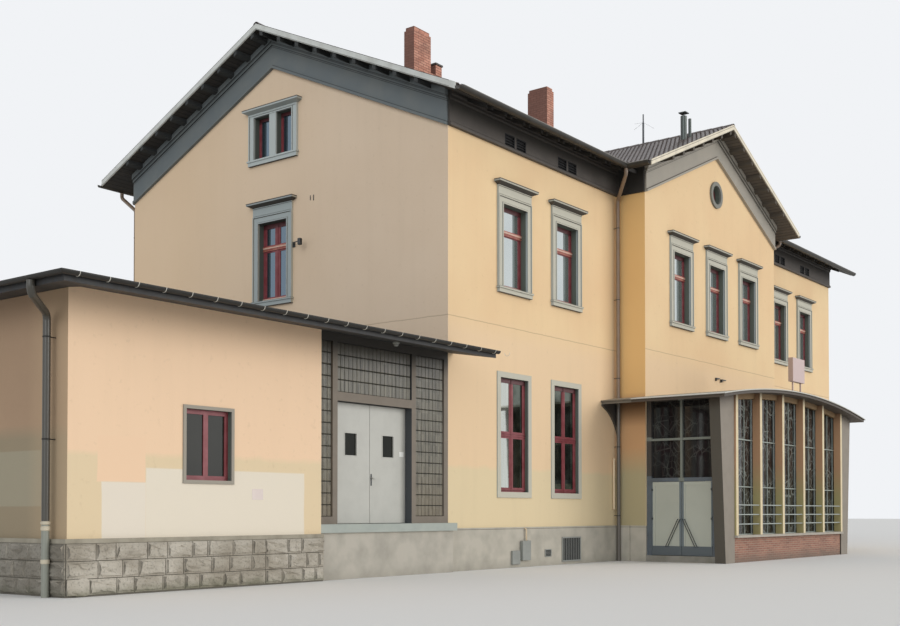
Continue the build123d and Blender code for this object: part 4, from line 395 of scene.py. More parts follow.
@dataclass(frozen=True)
class LimeRender(Finish):
    """Trowelled lime render under masonry paint: matt, softly mottled, with rain streaks."""

    patch: str = "#E5C59B"
    low_colour: str = "#E6C9A4"
    low_top: float = CRACK_HEIGHT
    foot_colour: str = "#DECBA6"
    foot_top: float = 2.5
    crack: float = 0.5
    across: Axis = Axis.X
    openings: tuple[Span, ...] = ()

    def colours(self, recipe: Recipe) -> Socket:
        """Return the paint's colour with its zones, mottling and streaks."""
        cloud = recipe.add("RAMP", recipe.add("NOISE", 0.35, 4.0), 0.35, 0.65)
        upper = recipe.over(linear(self.colour), cloud, self.patch)
        wavy = recipe.add("MULTIPLY", recipe.add("NOISE", 1.2, 3.0), 0.25)
        height = recipe.add("ADD", recipe.z, wavy)
        low = recipe.add("RAMP", height, self.low_top + 0.3, self.low_top - 0.3)
        painted = recipe.over(upper, low, self.low_colour)
        foot = recipe.add("RAMP", height, self.foot_top + 0.2, self.foot_top + 0.08)
        painted = recipe.over(painted, foot, self.foot_colour)
        streak = recipe.add("NOISE", 1.0, 4.0, recipe.stretched((3.0, 3.0, 0.25)))
        grime = recipe.add("RAMP", streak, 0.5, 0.85, 0.06)
        painted = recipe.over(painted, grime, "#9C8A70")
        spots = recipe.add("RAMP", recipe.add("NOISE", 9.0, 5.0), 0.62, 0.74, 0.12)
        painted = recipe.over(painted, spots, "#A8906C")
        line_wave = recipe.add("MULTIPLY", recipe.add("NOISE", 3.0, 3.0), 0.03)
        gap = recipe.add("SUBTRACT", recipe.z, CRACK_HEIGHT - 0.015)
        distance = recipe.add("ABSOLUTE", recipe.add("SUBTRACT", gap, line_wave))
        crack = recipe.add("RAMP", distance, 0.016, 0.006, self.crack)
        return recipe.over(painted, crack, "#A08A6C")

    def shade(self, recipe: Recipe, shader: Node) -> None:
        """Give the mottled paint, painted shade in the openings' reveals and float marks 25 mm
        wide.
        """
        trowel = recipe.add("NOISE", 40.0, 3.0)
        along = recipe.x if self.across is Axis.X else recipe.y
        inside = recipe.reveals(along, self.openings)
        # The openings' reveals get a dark grey-green as painted shade.
        colour = recipe.over(self.colours(recipe), inside, Paint.REVEAL_SHADE)
        feed(shader, Base_Color=colour, Normal=recipe.add("BUMP", trowel, 0.002))
        shader.inputs["Specular IOR Level"].default_value = 0.25


@dataclass(frozen=True)
class BayRender(LimeRender):
    """The bay's render, browner on its left side as painted bounce light and shade, with painted
    shade in its round window's reveal.
    """

    # The left side's warm colour is painted bounce light.
    side: str = "#E6BF82"

    def colours(self, recipe: Recipe) -> Socket:
        """Return the wall's colour, with painted light and shade on the left side and painted
        shade in the round window's reveal.
        """
        painted = LimeRender.colours(self, recipe)
        middle, height, radius = OCULUS
        centre = add_node(
            recipe.tree,
            "ShaderNodeCombineXYZ",
            {
                "X": recipe.add("SUBTRACT", recipe.x, middle),
                "Y": 0.0,
                "Z": recipe.add("SUBTRACT", recipe.z, height),
            },
        ).outputs["Vector"]
        inputs = {0: centre}
        reach = add_node(recipe.tree, "ShaderNodeVectorMath", inputs, operation="LENGTH")
        inside = recipe.add("LESS_THAN", reach.outputs["Value"], radius + 0.02)
        # Painted light and shade on the left side: warm bounce tones, greener below 3.3 m, and
        # painted shade under the canopy and its roof.
        shaded = recipe.over(linear(self.side), recipe.add("NOISE", 0.7, 3.0), "#DFB57A")
        canopy_shade = recipe.add("RAMP", recipe.z, 4.9, 4.7)
        shaded = recipe.over(shaded, canopy_shade, "#C49A70")
        shaded = recipe.over(shaded, recipe.add("RAMP", recipe.z, 3.3, 2.5), "#ADA17F")
        near_roof = recipe.within(recipe.z, 3.0, 4.68)
        soot_and_shade = recipe.add("MULTIPLY", recipe.add("RAMP", recipe.z, 3.9, 4.6), near_roof)
        shaded = recipe.over(shaded, soot_and_shade, "#4A2E1A", 0.8)
        painted = recipe.add("MIX", recipe.facing(Axis.X, -1.0), painted, shaded)
        # The round window's reveal gets painted shade.
        return recipe.over(painted, inside, Paint.REVEAL_SHADE)


@dataclass(frozen=True)
class GableRender(LimeRender):
    """A gable's render, greyer than the front's, which turns the corner to the long walls."""

    inner: tuple[float, float] = (0.005, MAIN_LENGTH - 0.005)

    def colours(self, recipe: Recipe) -> Socket:
        """Return the gable's colour, warmer to the rear, and the front's past the corner."""
        painted = LimeRender.colours(self, recipe)
        rear = recipe.add("RAMP", recipe.y, 3.0, 10.0, 0.5)
        painted = recipe.over(painted, rear, "#E2C39C")
        front = Paint.FRONT.colours(recipe)
        turned = recipe.within(recipe.x, *self.inner)
        return recipe.add("MIX", turned, painted, front)


@dataclass(frozen=True)
class AnnexRender(LimeRender):
    """The annex's peach render, with rectangles overpainted in other batches of paint.

    The end face gets no sun, so its own colours are darker and browner as painted shade.
    """

    front_patches: tuple[tuple[Span, str], ...] = ()
    end_patches: tuple[tuple[Span, str], ...] = ()
    # The end face's colours, darkened as painted shade.
    end_upper_shade: str = "#AF9379"
    end_lower_shade: str = "#998B74"
    end_lower_top: float = 2.75

    def overpainted(
        self,
        recipe: Recipe,
        along: Socket,
        painted: Socket,
        patches: tuple[tuple[Span, str], ...],
    ) -> Socket:
        """Return a colour with soft-edged rectangles of other paint on it.

        Args:
            recipe: The arrangements on the building's coordinates.
            along: The coordinate along the wall.
            painted: The wall's colour so far.
            patches: Each rectangle's span and colour.

        Returns:
            The wall's colour with the rectangles.
        """
        wobble = recipe.add("SPAN", recipe.add("NOISE", 2.5, 3.0), -0.02, 0.02)
        along = recipe.add("ADD", along, wobble)
        for span, colour in patches:
            mask = recipe.rectangle(along, span, 0.012)
            painted = recipe.over(painted, mask, colour)
        return painted

    def colours(self, recipe: Recipe) -> Socket:
        """Return the long walls' colour, and on the end face its own, darkened as painted shade
        and lightened towards the front corner as painted light.
        """
        front = LimeRender.colours(self, recipe)
        front_face = recipe.add("LESS_THAN", recipe.y, ANNEX_FRONT + 0.01)
        patched = self.overpainted(recipe, recipe.x, front, self.front_patches)
        front = recipe.add("MIX", front_face, front, patched)
        cloud = recipe.add("RAMP", recipe.add("NOISE", 0.5, 5.0), 0.35, 0.65)
        end = recipe.over(linear(self.end_upper_shade), cloud, "#A88D74")
        height = recipe.wavy(1.2, 0.2)
        foot = recipe.add("RAMP", height, self.end_lower_top + 0.25, self.end_lower_top)
        end = recipe.over(end, foot, self.end_lower_shade)
        end = self.overpainted(recipe, recipe.y, end, self.end_patches)
        # Painted light: the end face lightens towards the front corner.
        lit = recipe.add("RAMP", recipe.y, 0.9, 0.0, 0.5)
        end = recipe.over(end, lit, "#CDB18F")
        end_face = recipe.add("LESS_THAN", recipe.x, ANNEX_LEFT + 0.005)
        return recipe.add("MIX", end_face, front, end)


@dataclass(frozen=True)
class CementPlinth(Finish):
    """Smooth cement plinth: grey, blotched by damp, darker near the ground."""

    damp: str = "#6E6C62"

    def shade(self, recipe: Recipe, shader: Node) -> None:
        """Give blotches half a metre wide and a damp foot."""
        blotch = recipe.add("RAMP", recipe.add("NOISE", 2.2, 6.0), 0.4, 0.7)
        colour = recipe.over(linear(self.colour), blotch, self.damp)
        edge = recipe.wavy(3.0, 0.3)
        wet = recipe.add("RAMP", edge, 0.4, 0.15, 0.35)
        colour = recipe.over(colour, wet, "#7C786C")
        line = recipe.within(recipe.z, PLINTH_TOP - 0.05, PLINTH_TOP - 0.032)
        colour = recipe.over(colour, line, "#4B483F", 0.6)
        feed(
            shader,
            Base_Color=colour,
            Normal=recipe.add("BUMP", recipe.add("NOISE", 60.0, 4.0), 0.003),
        )


@dataclass(frozen=True)
class QuarryStone(Finish):
    """Split greywacke: rough, grey with pale and dark chips, and greener near the ground."""

    pit: str = "#57534B"

    def shade(self, recipe: Recipe, shader: Node) -> None:
        """Give the split face's chips, about 50 mm across, a tone for each stone and painted shade
        on the end face.
        """
        tone = recipe.add("RAMP", recipe.add("NOISE", 1.6, 2.0), 0.35, 0.65)
        colour = recipe.over(linear(self.colour), tone, "#9B9385")
        chips = recipe.add("NOISE", 26.0, 6.0)
        pits = recipe.add("RAMP", chips, 0.52, 0.72, 0.5)
        colour = recipe.over(colour, pits, self.pit)
        edge = recipe.wavy(4.0, 0.3)
        damp = recipe.add("RAMP", edge, 0.34, 0.16, 0.55)
        colour = recipe.over(colour, damp, "#5F6148")
        # Painted shade on the faces that look along -X, at the annex's end.
        turned = recipe.add("SPAN", recipe.facing(Axis.X, -1.0), 0.0, 0.45)
        colour = recipe.over(colour, turned, "#3A3934")
        feed(shader, Base_Color=colour, Normal=recipe.add("BUMP", chips, 0.012))


@dataclass(frozen=True)
class PlinthBed(Finish):
    """Mortar behind the annex's stones, and the smooth cement cap over them."""

    cap: str = "#A59E8E"

    def shade(self, recipe: Recipe, shader: Node) -> None:
        """Give the dark mortar below and the trowelled cap above."""
        over = recipe.add("GREATER_THAN", recipe.z, ANNEX_PLINTH_TOP - ANNEX_CAP - 0.002)
        soil = recipe.add("RAMP", recipe.add("NOISE", 3.0, 5.0), 0.35, 0.7)
        cap = recipe.over(linear(self.cap), soil, "#8A8374")
        colour = recipe.add("MIX", over, linear(self.colour), cap)
        feed(
            shader,
            Base_Color=colour,
            Normal=recipe.add("BUMP", recipe.add("NOISE", 50.0, 4.0), 0.003),
        )


@dataclass(frozen=True)
class Brickwork(Finish):
    """Fired clay bricks in running bond, 240 by 71 mm with 10 mm joints unless told otherwise."""

    second: str = "#7E4436"
    mortar: str = "#9A8F83"
    soot_and_shade: float = 0.2
    length: float = 0.25
    row: float = 0.081
    # Darker colour of the faces that look along -X: painted shade.
    side: str = "#6E4C42"
    foot_soil: float = 0.0

    def shade(self, recipe: Recipe, shader: Node) -> None:
        """Give the bond on both wall directions, with raked joints, sooty patches and painted
        shade on the faces that look along -X.
        """
        along = recipe.add("ADD", recipe.x, recipe.y)
        inputs = {"X": along, "Y": recipe.z, "Z": 0.0}
        flat = add_node(recipe.tree, "ShaderNodeCombineXYZ", inputs).outputs["Vector"]
        inputs = {
            "Vector": flat,
            "Color1": linear(self.colour),
            "Color2": linear(self.second),
            "Mortar": linear(self.mortar),
            "Scale": 1.0,
            "Mortar Size": 0.006,
            "Mortar Smooth": 0.1,
            "Brick Width": self.length,
            "Row Height": self.row,
        }
        bond = add_node(recipe.tree, "ShaderNodeTexBrick", inputs)
        grime = recipe.add("RAMP", recipe.add("NOISE", 1.6, 5.0), 0.4, 0.7, self.soot_and_shade)
        colour = recipe.over(bond.outputs["Color"], grime, "#3A322E")
        # Painted shade on the faces that look along -X.
        turned = recipe.add("SPAN", recipe.facing(Axis.X, -1.0), 0.0, 0.85)
        colour = recipe.over(colour, turned, self.side)
        edge = recipe.wavy(1.5, 0.25)
        soil = recipe.add("RAMP", edge, 0.45, 0.15, self.foot_soil)
        colour = recipe.over(colour, soil, "#6B6054")
        depth = recipe.add("SUBTRACT", 1.0, bond.outputs["Fac"])
        feed(shader, Base_Color=colour, Normal=recipe.add("BUMP", depth, 0.006))


@dataclass(frozen=True)
class Painted(Finish):
    """Brushed or sprayed paint on timber, concrete or steel, with some wear and grime."""

    worn: str = "#8A8578"
    wear: float = 0.15
    wear_scale: float = 3.0
    texture: float = 0.001
    texture_scale: float = 60.0
    grain: Point = (1.0, 1.0, 1.0)
    sheen: float = 0.5

    def tones(self, recipe: Recipe, painted: Socket) -> Socket:
        """Return the paint's colour with the tones of the places that it is on.

        Args:
            recipe: The arrangements on the building's coordinates.
            painted: The paint with its wear.

        Returns:
            The colour to show.
        """
        return painted

    def shade(self, recipe: Recipe, shader: Node) -> None:
        """Give the film's grime in clouds and its brush or mould marks."""
        cloud = recipe.add("RAMP", recipe.add("NOISE", self.wear_scale, 5.0), 0.4, 0.75)
        amount = recipe.add("SPAN", cloud, 0.0, self.wear)
        colour = self.tones(recipe, recipe.over(linear(self.colour), amount, self.worn))
        marks = recipe.add("NOISE", self.texture_scale, 3.0, recipe.stretched(self.grain))
        feed(shader, Base_Color=colour, Normal=recipe.add("BUMP", marks, self.texture))
        shader.inputs["Specular IOR Level"].default_value = self.sheen


@dataclass(frozen=True)
class FriezePaint(Painted):
    """Paint on the eaves' frieze, with painted shade under the soffit and black painted shade in
    its vents.
    """

    # Dark colour laid towards the soffit as painted shade.
    soot_and_shade: str = "#26231F"

    def tones(self, recipe: Recipe, painted: Socket) -> Socket:
        """Return the paint, painted shade towards the soffit and black painted shade in the vents.
        """
        # Painted shade under the soffit.
        high = recipe.add("RAMP", recipe.z, 10.85, 11.3, 0.75)
        painted = recipe.over(painted, high, self.soot_and_shade)
        timber = recipe.add("LESS_THAN", recipe.y, -0.13)
        painted = recipe.over(painted, timber, "#2A2825")
        # Black painted shade in the vents.
        vent = recipe.reveals(recipe.x, VENT_OPENINGS)
        return recipe.over(painted, vent, "#101012")


@dataclass(frozen=True)
class SplitPaint(Painted):
    """One paint on most of a piece and another where a coordinate is under a limit."""

    other: str = "#D9CDB0"
    across: Axis = Axis.Y
    limit: float = 0.0

    def tones(self, recipe: Recipe, painted: Socket) -> Socket:
        """Return both paints, each with the same wear."""
        value = {Axis.X: recipe.x, Axis.Y: recipe.y, Axis.Z: recipe.z}[self.across]
        under = recipe.add("LESS_THAN", value, self.limit)
        cloud = recipe.add("RAMP", recipe.add("NOISE", self.wear_scale, 5.0), 0.4, 0.75)
        amount = recipe.add("SPAN", cloud, 0.0, self.wear)
        other = recipe.over(linear(self.other), amount, self.worn)
        return recipe.add("MIX", under, painted, other)


@dataclass(frozen=True)
class GablePaint(SplitPaint):
    """Paint on a gable's timber, with painted shade in the grooves that run under the roof's
    plane.
    """

    grooves: tuple[float, ...] = ()
    bay_grooves: tuple[float, ...] = ()
    tile_edge: float = -1.0
    timber: str = "#343636"
    bay_timber: str = "#4E463C"

    def tones(self, recipe: Recipe, painted: Socket) -> Socket:
        """Return both paints, painted shade in the grooves, the tiles' edge and the dark timber
        ends.
        """
        painted = SplitPaint.tones(self, recipe, painted)
        on_bay = recipe.add("LESS_THAN", recipe.y, BAY_FRONT + 0.4)
        main = recipe.drop(recipe.y, MAIN_MIDDLE, RIDGE_TOP, math.tan(MAIN_PITCH))
        bay = recipe.drop(recipe.x, BAY_MIDDLE, BAY_RIDGE, math.tan(BAY_PITCH))
        for here, drop, grooves in ((0, main, self.grooves), (1, bay, self.bay_grooves)):
            # Painted shade along each groove.
            soot_and_shade: Source = 0.0
            for groove in grooves:
                off = recipe.add("ABSOLUTE", recipe.add("SUBTRACT", drop, groove))
                soot_and_shade = recipe.add("MAXIMUM", soot_and_shade, recipe.add("RAMP", off, 0.014, 0.006))
            side = recipe.add("COMPARE", on_bay, float(here))
            amount = recipe.add("SPAN", recipe.add("MULTIPLY", soot_and_shade, side), 0.0, 0.65)
            painted = recipe.over(painted, amount, "#24231F")
        not_bay = recipe.add("SUBTRACT", 1.0, on_bay)
        edge = recipe.add("MULTIPLY", recipe.add("LESS_THAN", main, self.tile_edge), not_bay)
        painted = recipe.over(painted, edge, "#4A4542")
        before = recipe.add("LESS_THAN", recipe.x, -0.13)
        past = recipe.add("GREATER_THAN", recipe.x, MAIN_LENGTH + 0.13)
        ends = recipe.within(recipe.add("MAXIMUM", before, past), 0.5, 2.0)
        if self.tile_edge < -0.5:
            painted = recipe.over(painted, ends, self.timber)
            bay_ends = recipe.add("LESS_THAN", recipe.y, BAY_FRONT - 0.13)
            painted = recipe.over(painted, bay_ends, self.bay_timber)
        return painted


@dataclass(frozen=True)
class SidedPaint(Painted):
    """Masonry paint with painted shade on the sides turned from the front's light."""

    # Colours of painted shade: on faces that look along -X, high and low, and on faces that look
    # down.
    side: str = "#5A5449"
    side_low: Optional[str] = None
    under: Optional[str] = None
    painted_shade_from: Optional[float] = None

    def tones(self, recipe: Recipe, painted: Socket) -> Socket:
        """Return the paint, with painted shade on the left and under faces and below the vault."""
        low = recipe.add("RAMP", recipe.z, 2.9, 1.9)
        side = recipe.over(linear(self.side), low, self.side_low or self.side)
        painted = recipe.add("MIX", recipe.facing(Axis.X, -1.0), painted, side)
        if self.under:
            painted = recipe.over(painted, recipe.facing(Axis.Z, -1.0), self.under)
        # Painted shade towards the vault.
        if self.painted_shade_from is not None:
            near = recipe.add("RAMP", recipe.vault_drop(), self.painted_shade_from, 0.12)
            painted = recipe.over(painted, near, "#3B2F24", 0.6)
        return painted


@dataclass(frozen=True)
class JoineryPaint(Painted):
    """Red oil paint, with painted shade under the heads of the windows."""

    # Dark red laid under the heads as painted shade.
    head_shade: str = "#3C1C1E"

    def tones(self, recipe: Recipe, painted: Socket) -> Socket:
        """Return the paint and the painted shade under each head."""
        for head in (UPPER_STOREY[1], LOWER_STOREY[1], ATTIC_STOREY[1]):
            under = recipe.within(recipe.z, head - 0.13, head)
            painted = recipe.over(painted, under, self.head_shade, 0.7)
        return painted


@dataclass(frozen=True)
class ScreenPaint(SplitPaint):
    """Paint on the vestibule's side screens, paler on the bars between the panes."""

    bar: str = "#757A73"

    def tones(self, recipe: Recipe, painted: Socket) -> Socket:
        """Return both paints and the bars' own."""
        painted = SplitPaint.tones(self, recipe, painted)
        upright = recipe.within(recipe.y, -2.12, -1.95)
        rail = recipe.within(recipe.z, 3.46, 3.57)
        bars = recipe.add("MAXIMUM", upright, rail)
        return recipe.over(painted, bars, self.bar)


@dataclass(frozen=True)
class SurroundPaint(SidedPaint):
    """Paint on the cement surrounds: warm to the front, with painted light and shade cooler on the
    gable and dark underneath, and darker bands on the hoods.
    """

    def tones(self, recipe: Recipe, painted: Socket) -> Socket:
        """Return the tones, the darker bands on the hoods' fronts and painted shade lines at the
        sills.
        """
        painted = SidedPaint.tones(self, recipe, painted)
        # Darker bands across the hoods' fronts.
        for foot in (UPPER_STOREY[1] + 0.45, 12.31):
            for low, high, amount in ((0.0, 0.035, 0.7), (0.03, 0.1, 0.2), (0.095, 0.135, 0.75)):
                band = recipe.within(recipe.z, foot + low, foot + high)
                painted = recipe.over(painted, band, "#4A443F", amount)
        # Painted shade lines at the sills.
        for low, high in ((UPPER_STOREY[0] - 0.012, UPPER_STOREY[0] + 0.004), (6.985, 7.0)):
            line = recipe.within(recipe.z, low, high)
            painted = recipe.over(painted, line, "#4A443F", 0.6)
        attic = recipe.add("GREATER_THAN", recipe.z, 10.9)
        painted = recipe.over(painted, attic, "#C3CAC7", 0.55)
        annex = recipe.add("LESS_THAN", recipe.x, -1.0)
        painted = recipe.over(painted, annex, "#8F877B", 0.8)
        ring = recipe.add("LESS_THAN", recipe.y, BAY_FRONT + 0.02)
        beside = recipe.within(recipe.x, OCULUS[0] - 0.5, OCULUS[0] + 0.5)
        ring = recipe.add("MULTIPLY", ring, beside)
        ring = recipe.add("MULTIPLY", ring, recipe.within(recipe.z, 11.1, 12.1))
        painted = recipe.over(painted, ring, "#6B6961", 0.85)
        return painted


@dataclass(frozen=True)
class VaultSheet(SidedPaint):
    """Sheet over the vestibule: pale at its folded rim, with painted shade below the fold."""

    def tones(self, recipe: Recipe, painted: Socket) -> Socket:
        """Return the sheet, its rim 35 mm high and painted shade on the slab under it."""
        painted = SidedPaint.tones(self, recipe, painted)
        drop = recipe.vault_drop()
        # Painted shade on the front below the rim.
        front = recipe.add("LESS_THAN", recipe.y, BAY_FRONT - 0.02)
        below = recipe.add("MULTIPLY", recipe.add("GREATER_THAN", drop, 0.034), front)
        painted = recipe.over(painted, below, "#4B4239")
        rim = recipe.within(drop, 0.002, 0.02)
        painted = recipe.over(painted, recipe.add("MULTIPLY", rim, front), "#C9CBC6")
        return painted


@dataclass(frozen=True)
class DockPaint(Painted):
    """Paint on the dock's concrete frame: painted shade under the roof and on its undersides,
    steel grey in the doorway.
    """

    soot_and_shade: str = "#211F1C"
    lining: str = "#44474A"

    def tones(self, recipe: Recipe, painted: Socket) -> Socket:
        """Return the paint, the doorway's dark lining and painted shade on the undersides and
        under the roof.
        """
        doorway = recipe.within(recipe.x, -1.5, -1.2)
        lining = recipe.add("MULTIPLY", doorway, recipe.facing(Axis.X, -1.0))
        painted = recipe.over(painted, lining, self.lining)
        # Painted shade on the undersides and towards the roof.
        painted = recipe.over(painted, recipe.facing(Axis.Z, -1.0), self.soot_and_shade)
        high = recipe.add("RAMP", recipe.z, 4.6, 5.0, 0.9)
        return recipe.over(painted, high, self.soot_and_shade)


@dataclass(frozen=True)
class SoffitBoards(Finish):
    """Stained softwood boards under the eaves, 140 mm wide, nearly black: the stain is darkened as
    painted shade.
    """

    along: Axis = Axis.X
    board: float = 0.14
    pale: str = "#5E5A54"

    def shade(self, recipe: Recipe, shader: Node) -> None:
        """Give the joints between boards and a grain along them."""
        value = recipe.y if self.along is Axis.X else recipe.x
        joint = recipe.stripe(value, self.board, 0.02)
        grain = (0.4, 12.0, 12.0) if self.along is Axis.X else (12.0, 0.4, 12.0)
        streak = recipe.add("NOISE", 3.0, 4.0, recipe.stretched(grain))
        colour = recipe.over(linear(self.colour), recipe.add("RAMP", streak, 0.3, 0.7), self.pale)
        colour = recipe.over(colour, joint, "#16140F")
        height = recipe.add("SUBTRACT", 1.0, joint)
        feed(shader, Base_Color=colour, Normal=recipe.add("BUMP", height, 0.006))


@dataclass(frozen=True)
class Pantile(Finish):
    """Engobed clay pantiles: dark brown, a dull sheen on the crowns, lichen in spots."""

    second: str = "#5B4F4A"

    def shade(self, recipe: Recipe, shader: Node) -> None:
        """Give each tile its own tone and a little pale lichen."""
        inputs = {"Vector": recipe.stretched((4.55, 4.55, 7.0)), "Scale": 1.0}
        cells = add_node(recipe.tree, "ShaderNodeTexVoronoi", inputs).outputs["Color"]
        tone = add_node(recipe.tree, "ShaderNodeSeparateXYZ", {"Vector": cells}).outputs["X"]
        colour = recipe.over(linear(self.colour), tone, self.second)
        lichen = recipe.add("RAMP", recipe.add("NOISE", 7.0, 6.0), 0.6, 0.75, 0.4)
        colour = recipe.over(colour, lichen, "#8C857A")
        feed(
            shader,
            Base_Color=colour,
            Normal=recipe.add("BUMP", recipe.add("NOISE", 50.0, 3.0), 0.002),
        )


@dataclass(frozen=True)
class Sheet(Finish):
    """Rolled zinc or steel sheet: metal, dulled by weather, with faint run marks."""

    tarnish: str = "#2C2E31"
    metal: float = 1.0

    def shade(self, recipe: Recipe, shader: Node) -> None:
        """Give the patina's clouds and the runs of water down the sheet."""
        runs = recipe.add("NOISE", 2.0, 4.0, recipe.stretched((6.0, 6.0, 0.8)))
        colour = recipe.over(linear(self.colour), recipe.add("RAMP", runs, 0.3, 0.7), self.tarnish)
        gloss = recipe.add(
            "SPAN", recipe.add("NOISE", 4.0, 3.0), self.roughness - 0.1, self.roughness + 0.1
        )
        feed(shader, Base_Color=colour, Roughness=gloss)
        shader.inputs["Metallic"].default_value = self.metal


@dataclass(frozen=True)
class Pane(Finish):
    """Float glass before a dark room: nearly black, with clear reflections."""

    tint: str = "#2A3036"
    waves: float = 0.0006
    level: float = 0.7

    def shade(self, recipe: Recipe, shader: Node) -> None:
        """Give the room's dim shapes behind the pane and the slight wave of old glass."""
        dim = recipe.add("RAMP", recipe.add("NOISE", 0.9, 2.0), 0.35, 0.65)
        colour = recipe.over(linear(self.colour), dim, self.tint)
        feed(
            shader,
            Base_Color=colour,
            Normal=recipe.add("BUMP", recipe.add("NOISE", 2.5, 1.0), self.waves),
        )
        shader.inputs["IOR"].default_value = 1.52
        shader.inputs["Specular IOR Level"].default_value = self.level


@dataclass(frozen=True)
class PaintedReflectionPane(Finish):
    """Double glazing with painted reflections: bright in the upper storey, darker and blotched in
    the lower.
    """

    gable: str = "#6F7F8C"
    below: str = "#6A6F66"
    curtain: str = "#DADCD4"

    def shade(self, recipe: Recipe, shader: Node) -> None:
        """Give each storey the tone of its painted reflection, with soft shapes on the ground
        floor's panes.
        """
        shapes = recipe.add("RAMP", recipe.add("NOISE", 2.2, 4.0), 0.42, 0.62)
        lower = recipe.over(linear(self.below), shapes, "#3D4239")
        fold = recipe.add("NOISE", 5.0, 2.0, recipe.stretched((2.0, 2.0, 0.12)))
        drawn = recipe.within(recipe.x, WING_WINDOWS[0] - LOWER_HALF, WING_WINDOWS[0])
        hung = recipe.over(linear(self.curtain), fold, "#BDC0B8")
        lower = recipe.add("MIX", drawn, lower, hung)
        # The storeys' tones and the gable panes' blue-grey are painted reflections.
        low = recipe.add("LESS_THAN", recipe.z, CRACK_HEIGHT)
        high = recipe.over(linear(self.colour), recipe.add("NOISE", 0.8, 3.0), "#C4CBCB")
        end = recipe.add("LESS_THAN", recipe.x, 0.45)
        high = recipe.over(high, end, self.gable)
        colour = recipe.add("MIX", low, high, lower)
        feed(
            shader,
            Base_Color=colour,
            Normal=recipe.add("BUMP", recipe.add("NOISE", 2.5, 1.0), 0.0004),
        )
        shader.inputs["Metallic"].default_value = 0.9


@dataclass(frozen=True)
class LinedPane(Finish):
    """Dark shop-front glass, its reflections broken into fine pale lines that cross."""

    line: str = "#8A8E88"

    def shade(self, recipe: Recipe, shader: Node) -> None:
        """Give the crossing lines, about 12 mm wide, on nearly black glass."""
        lines: Source = 0.0
        for scale in (2.3, 3.7, 5.3):
            inputs = {"Vector": recipe.stretched((1.0, 1.0, 0.6)), "Scale": scale}
            cells = add_node(
                recipe.tree, "ShaderNodeTexVoronoi", inputs, feature="DISTANCE_TO_EDGE"
            )
            line = recipe.add("RAMP", cells.outputs["Distance"], 0.028, 0.01)
            lines = recipe.add("MAXIMUM", lines, line)
        patchy = recipe.add("RAMP", recipe.add("NOISE", 1.3, 3.0), 0.36, 0.55)
        front = recipe.add("SPAN", recipe.add("LESS_THAN", recipe.y, -3.1), 0.15, 0.7)
        amount = recipe.add("MULTIPLY", lines, recipe.add("MULTIPLY", patchy, front))
        gloom = recipe.over(linear(self.colour), recipe.add("NOISE", 1.5, 3.0), "#201D1D")
        colour = recipe.over(gloom, amount, self.line)
        feed(
            shader,
            Base_Color=colour,
            Normal=recipe.add("BUMP", recipe.add("NOISE", 2.5, 1.0), 0.0006),
        )
        shader.inputs["IOR"].default_value = 1.52
        shader.inputs["Specular IOR Level"].default_value = 0.3


@dataclass(frozen=True)
class RibbedBlock(Finish):
    """Pressed glass blocks: grey-brown, with vertical ribs inside, and painted highlights and
    shade where these break the light.
    """

    tone_and_highlight: str = "#8F8876"
    shadow: str = "#3A362F"

    def shade(self, recipe: Recipe, shader: Node) -> None:
        """Give ribs 15 mm apart, painted light and dark streaks up each block, a tone for each and
        painted shade at the top.
        """
        along = recipe.add("ADD", recipe.x, recipe.y)
        rib = recipe.add("PINGPONG", along, 0.0075)
        half = recipe.add("FLOOR", recipe.add("DIVIDE", recipe.x, 0.0886))
        course = recipe.add("FLOOR", recipe.add("DIVIDE", recipe.z, 0.248))
        seed = recipe.add("ADD", half, recipe.add("MULTIPLY", course, 57.0))
        tone = add_node(
            recipe.tree, "ShaderNodeTexWhiteNoise", {"W": seed}, noise_dimensions="1D"
        ).outputs["Value"]
        # Painted highlights and shade: light and dark streaks up each block.
        streak = recipe.add(
            "RAMP", recipe.add("NOISE", 1.0, 3.0, recipe.stretched((42.0, 42.0, 1.6))), 0.35, 0.65
        )
        blend = recipe.add(
            "ADD", recipe.add("SPAN", tone, 0.0, 0.35), recipe.add("SPAN", streak, 0.0, 0.65)
        )
        colour = recipe.over(linear(self.colour), blend, self.tone_and_highlight)
        warm = recipe.add("RAMP", recipe.z, 2.6, 1.4, 0.45)
        colour = recipe.over(colour, warm, "#7F7058")
        # Painted shade along the top of the wall, under the roof.
        high = recipe.add("RAMP", recipe.z, 4.35, 5.0, 0.85)
        colour = recipe.over(colour, high, self.shadow)
        feed(shader, Base_Color=colour, Normal=recipe.add("BUMP", rib, 0.6, 0.5))
        shader.inputs["IOR"].default_value = 1.52


@dataclass(frozen=True)
class FluePipe(Finish):
    """Stainless flue: blackened near its mouth, bright and spangled below."""

    mouth: str = "#4E5350"
    line: float = 13.05

    def shade(self, recipe: Recipe, shader: Node) -> None:
        """Give the sooty mouth's edge and the spangle."""
        edge = recipe.wavy(6.0, 0.1)
        soot_and_shade = recipe.add("RAMP", edge, self.line + 0.05, self.line + 0.1)
        spangle = recipe.over(linear(self.colour), recipe.add("NOISE", 30.0, 2.0), "#9A9C9B")
        feed(shader, Base_Color=recipe.over(spangle, soot_and_shade, self.mouth))
        shader.inputs["Metallic"].default_value = 0.6


@dataclass(frozen=True)
class GutterPaint(Painted):
    """Weathered zinc of the gutters, nearly black on the annex."""

    def tones(self, recipe: Recipe, painted: Socket) -> Socket:
        """Return the zinc and the annex gutter's grime."""
        low = recipe.add("LESS_THAN", recipe.z, 6.0)
        return recipe.over(painted, low, "#2A2825")


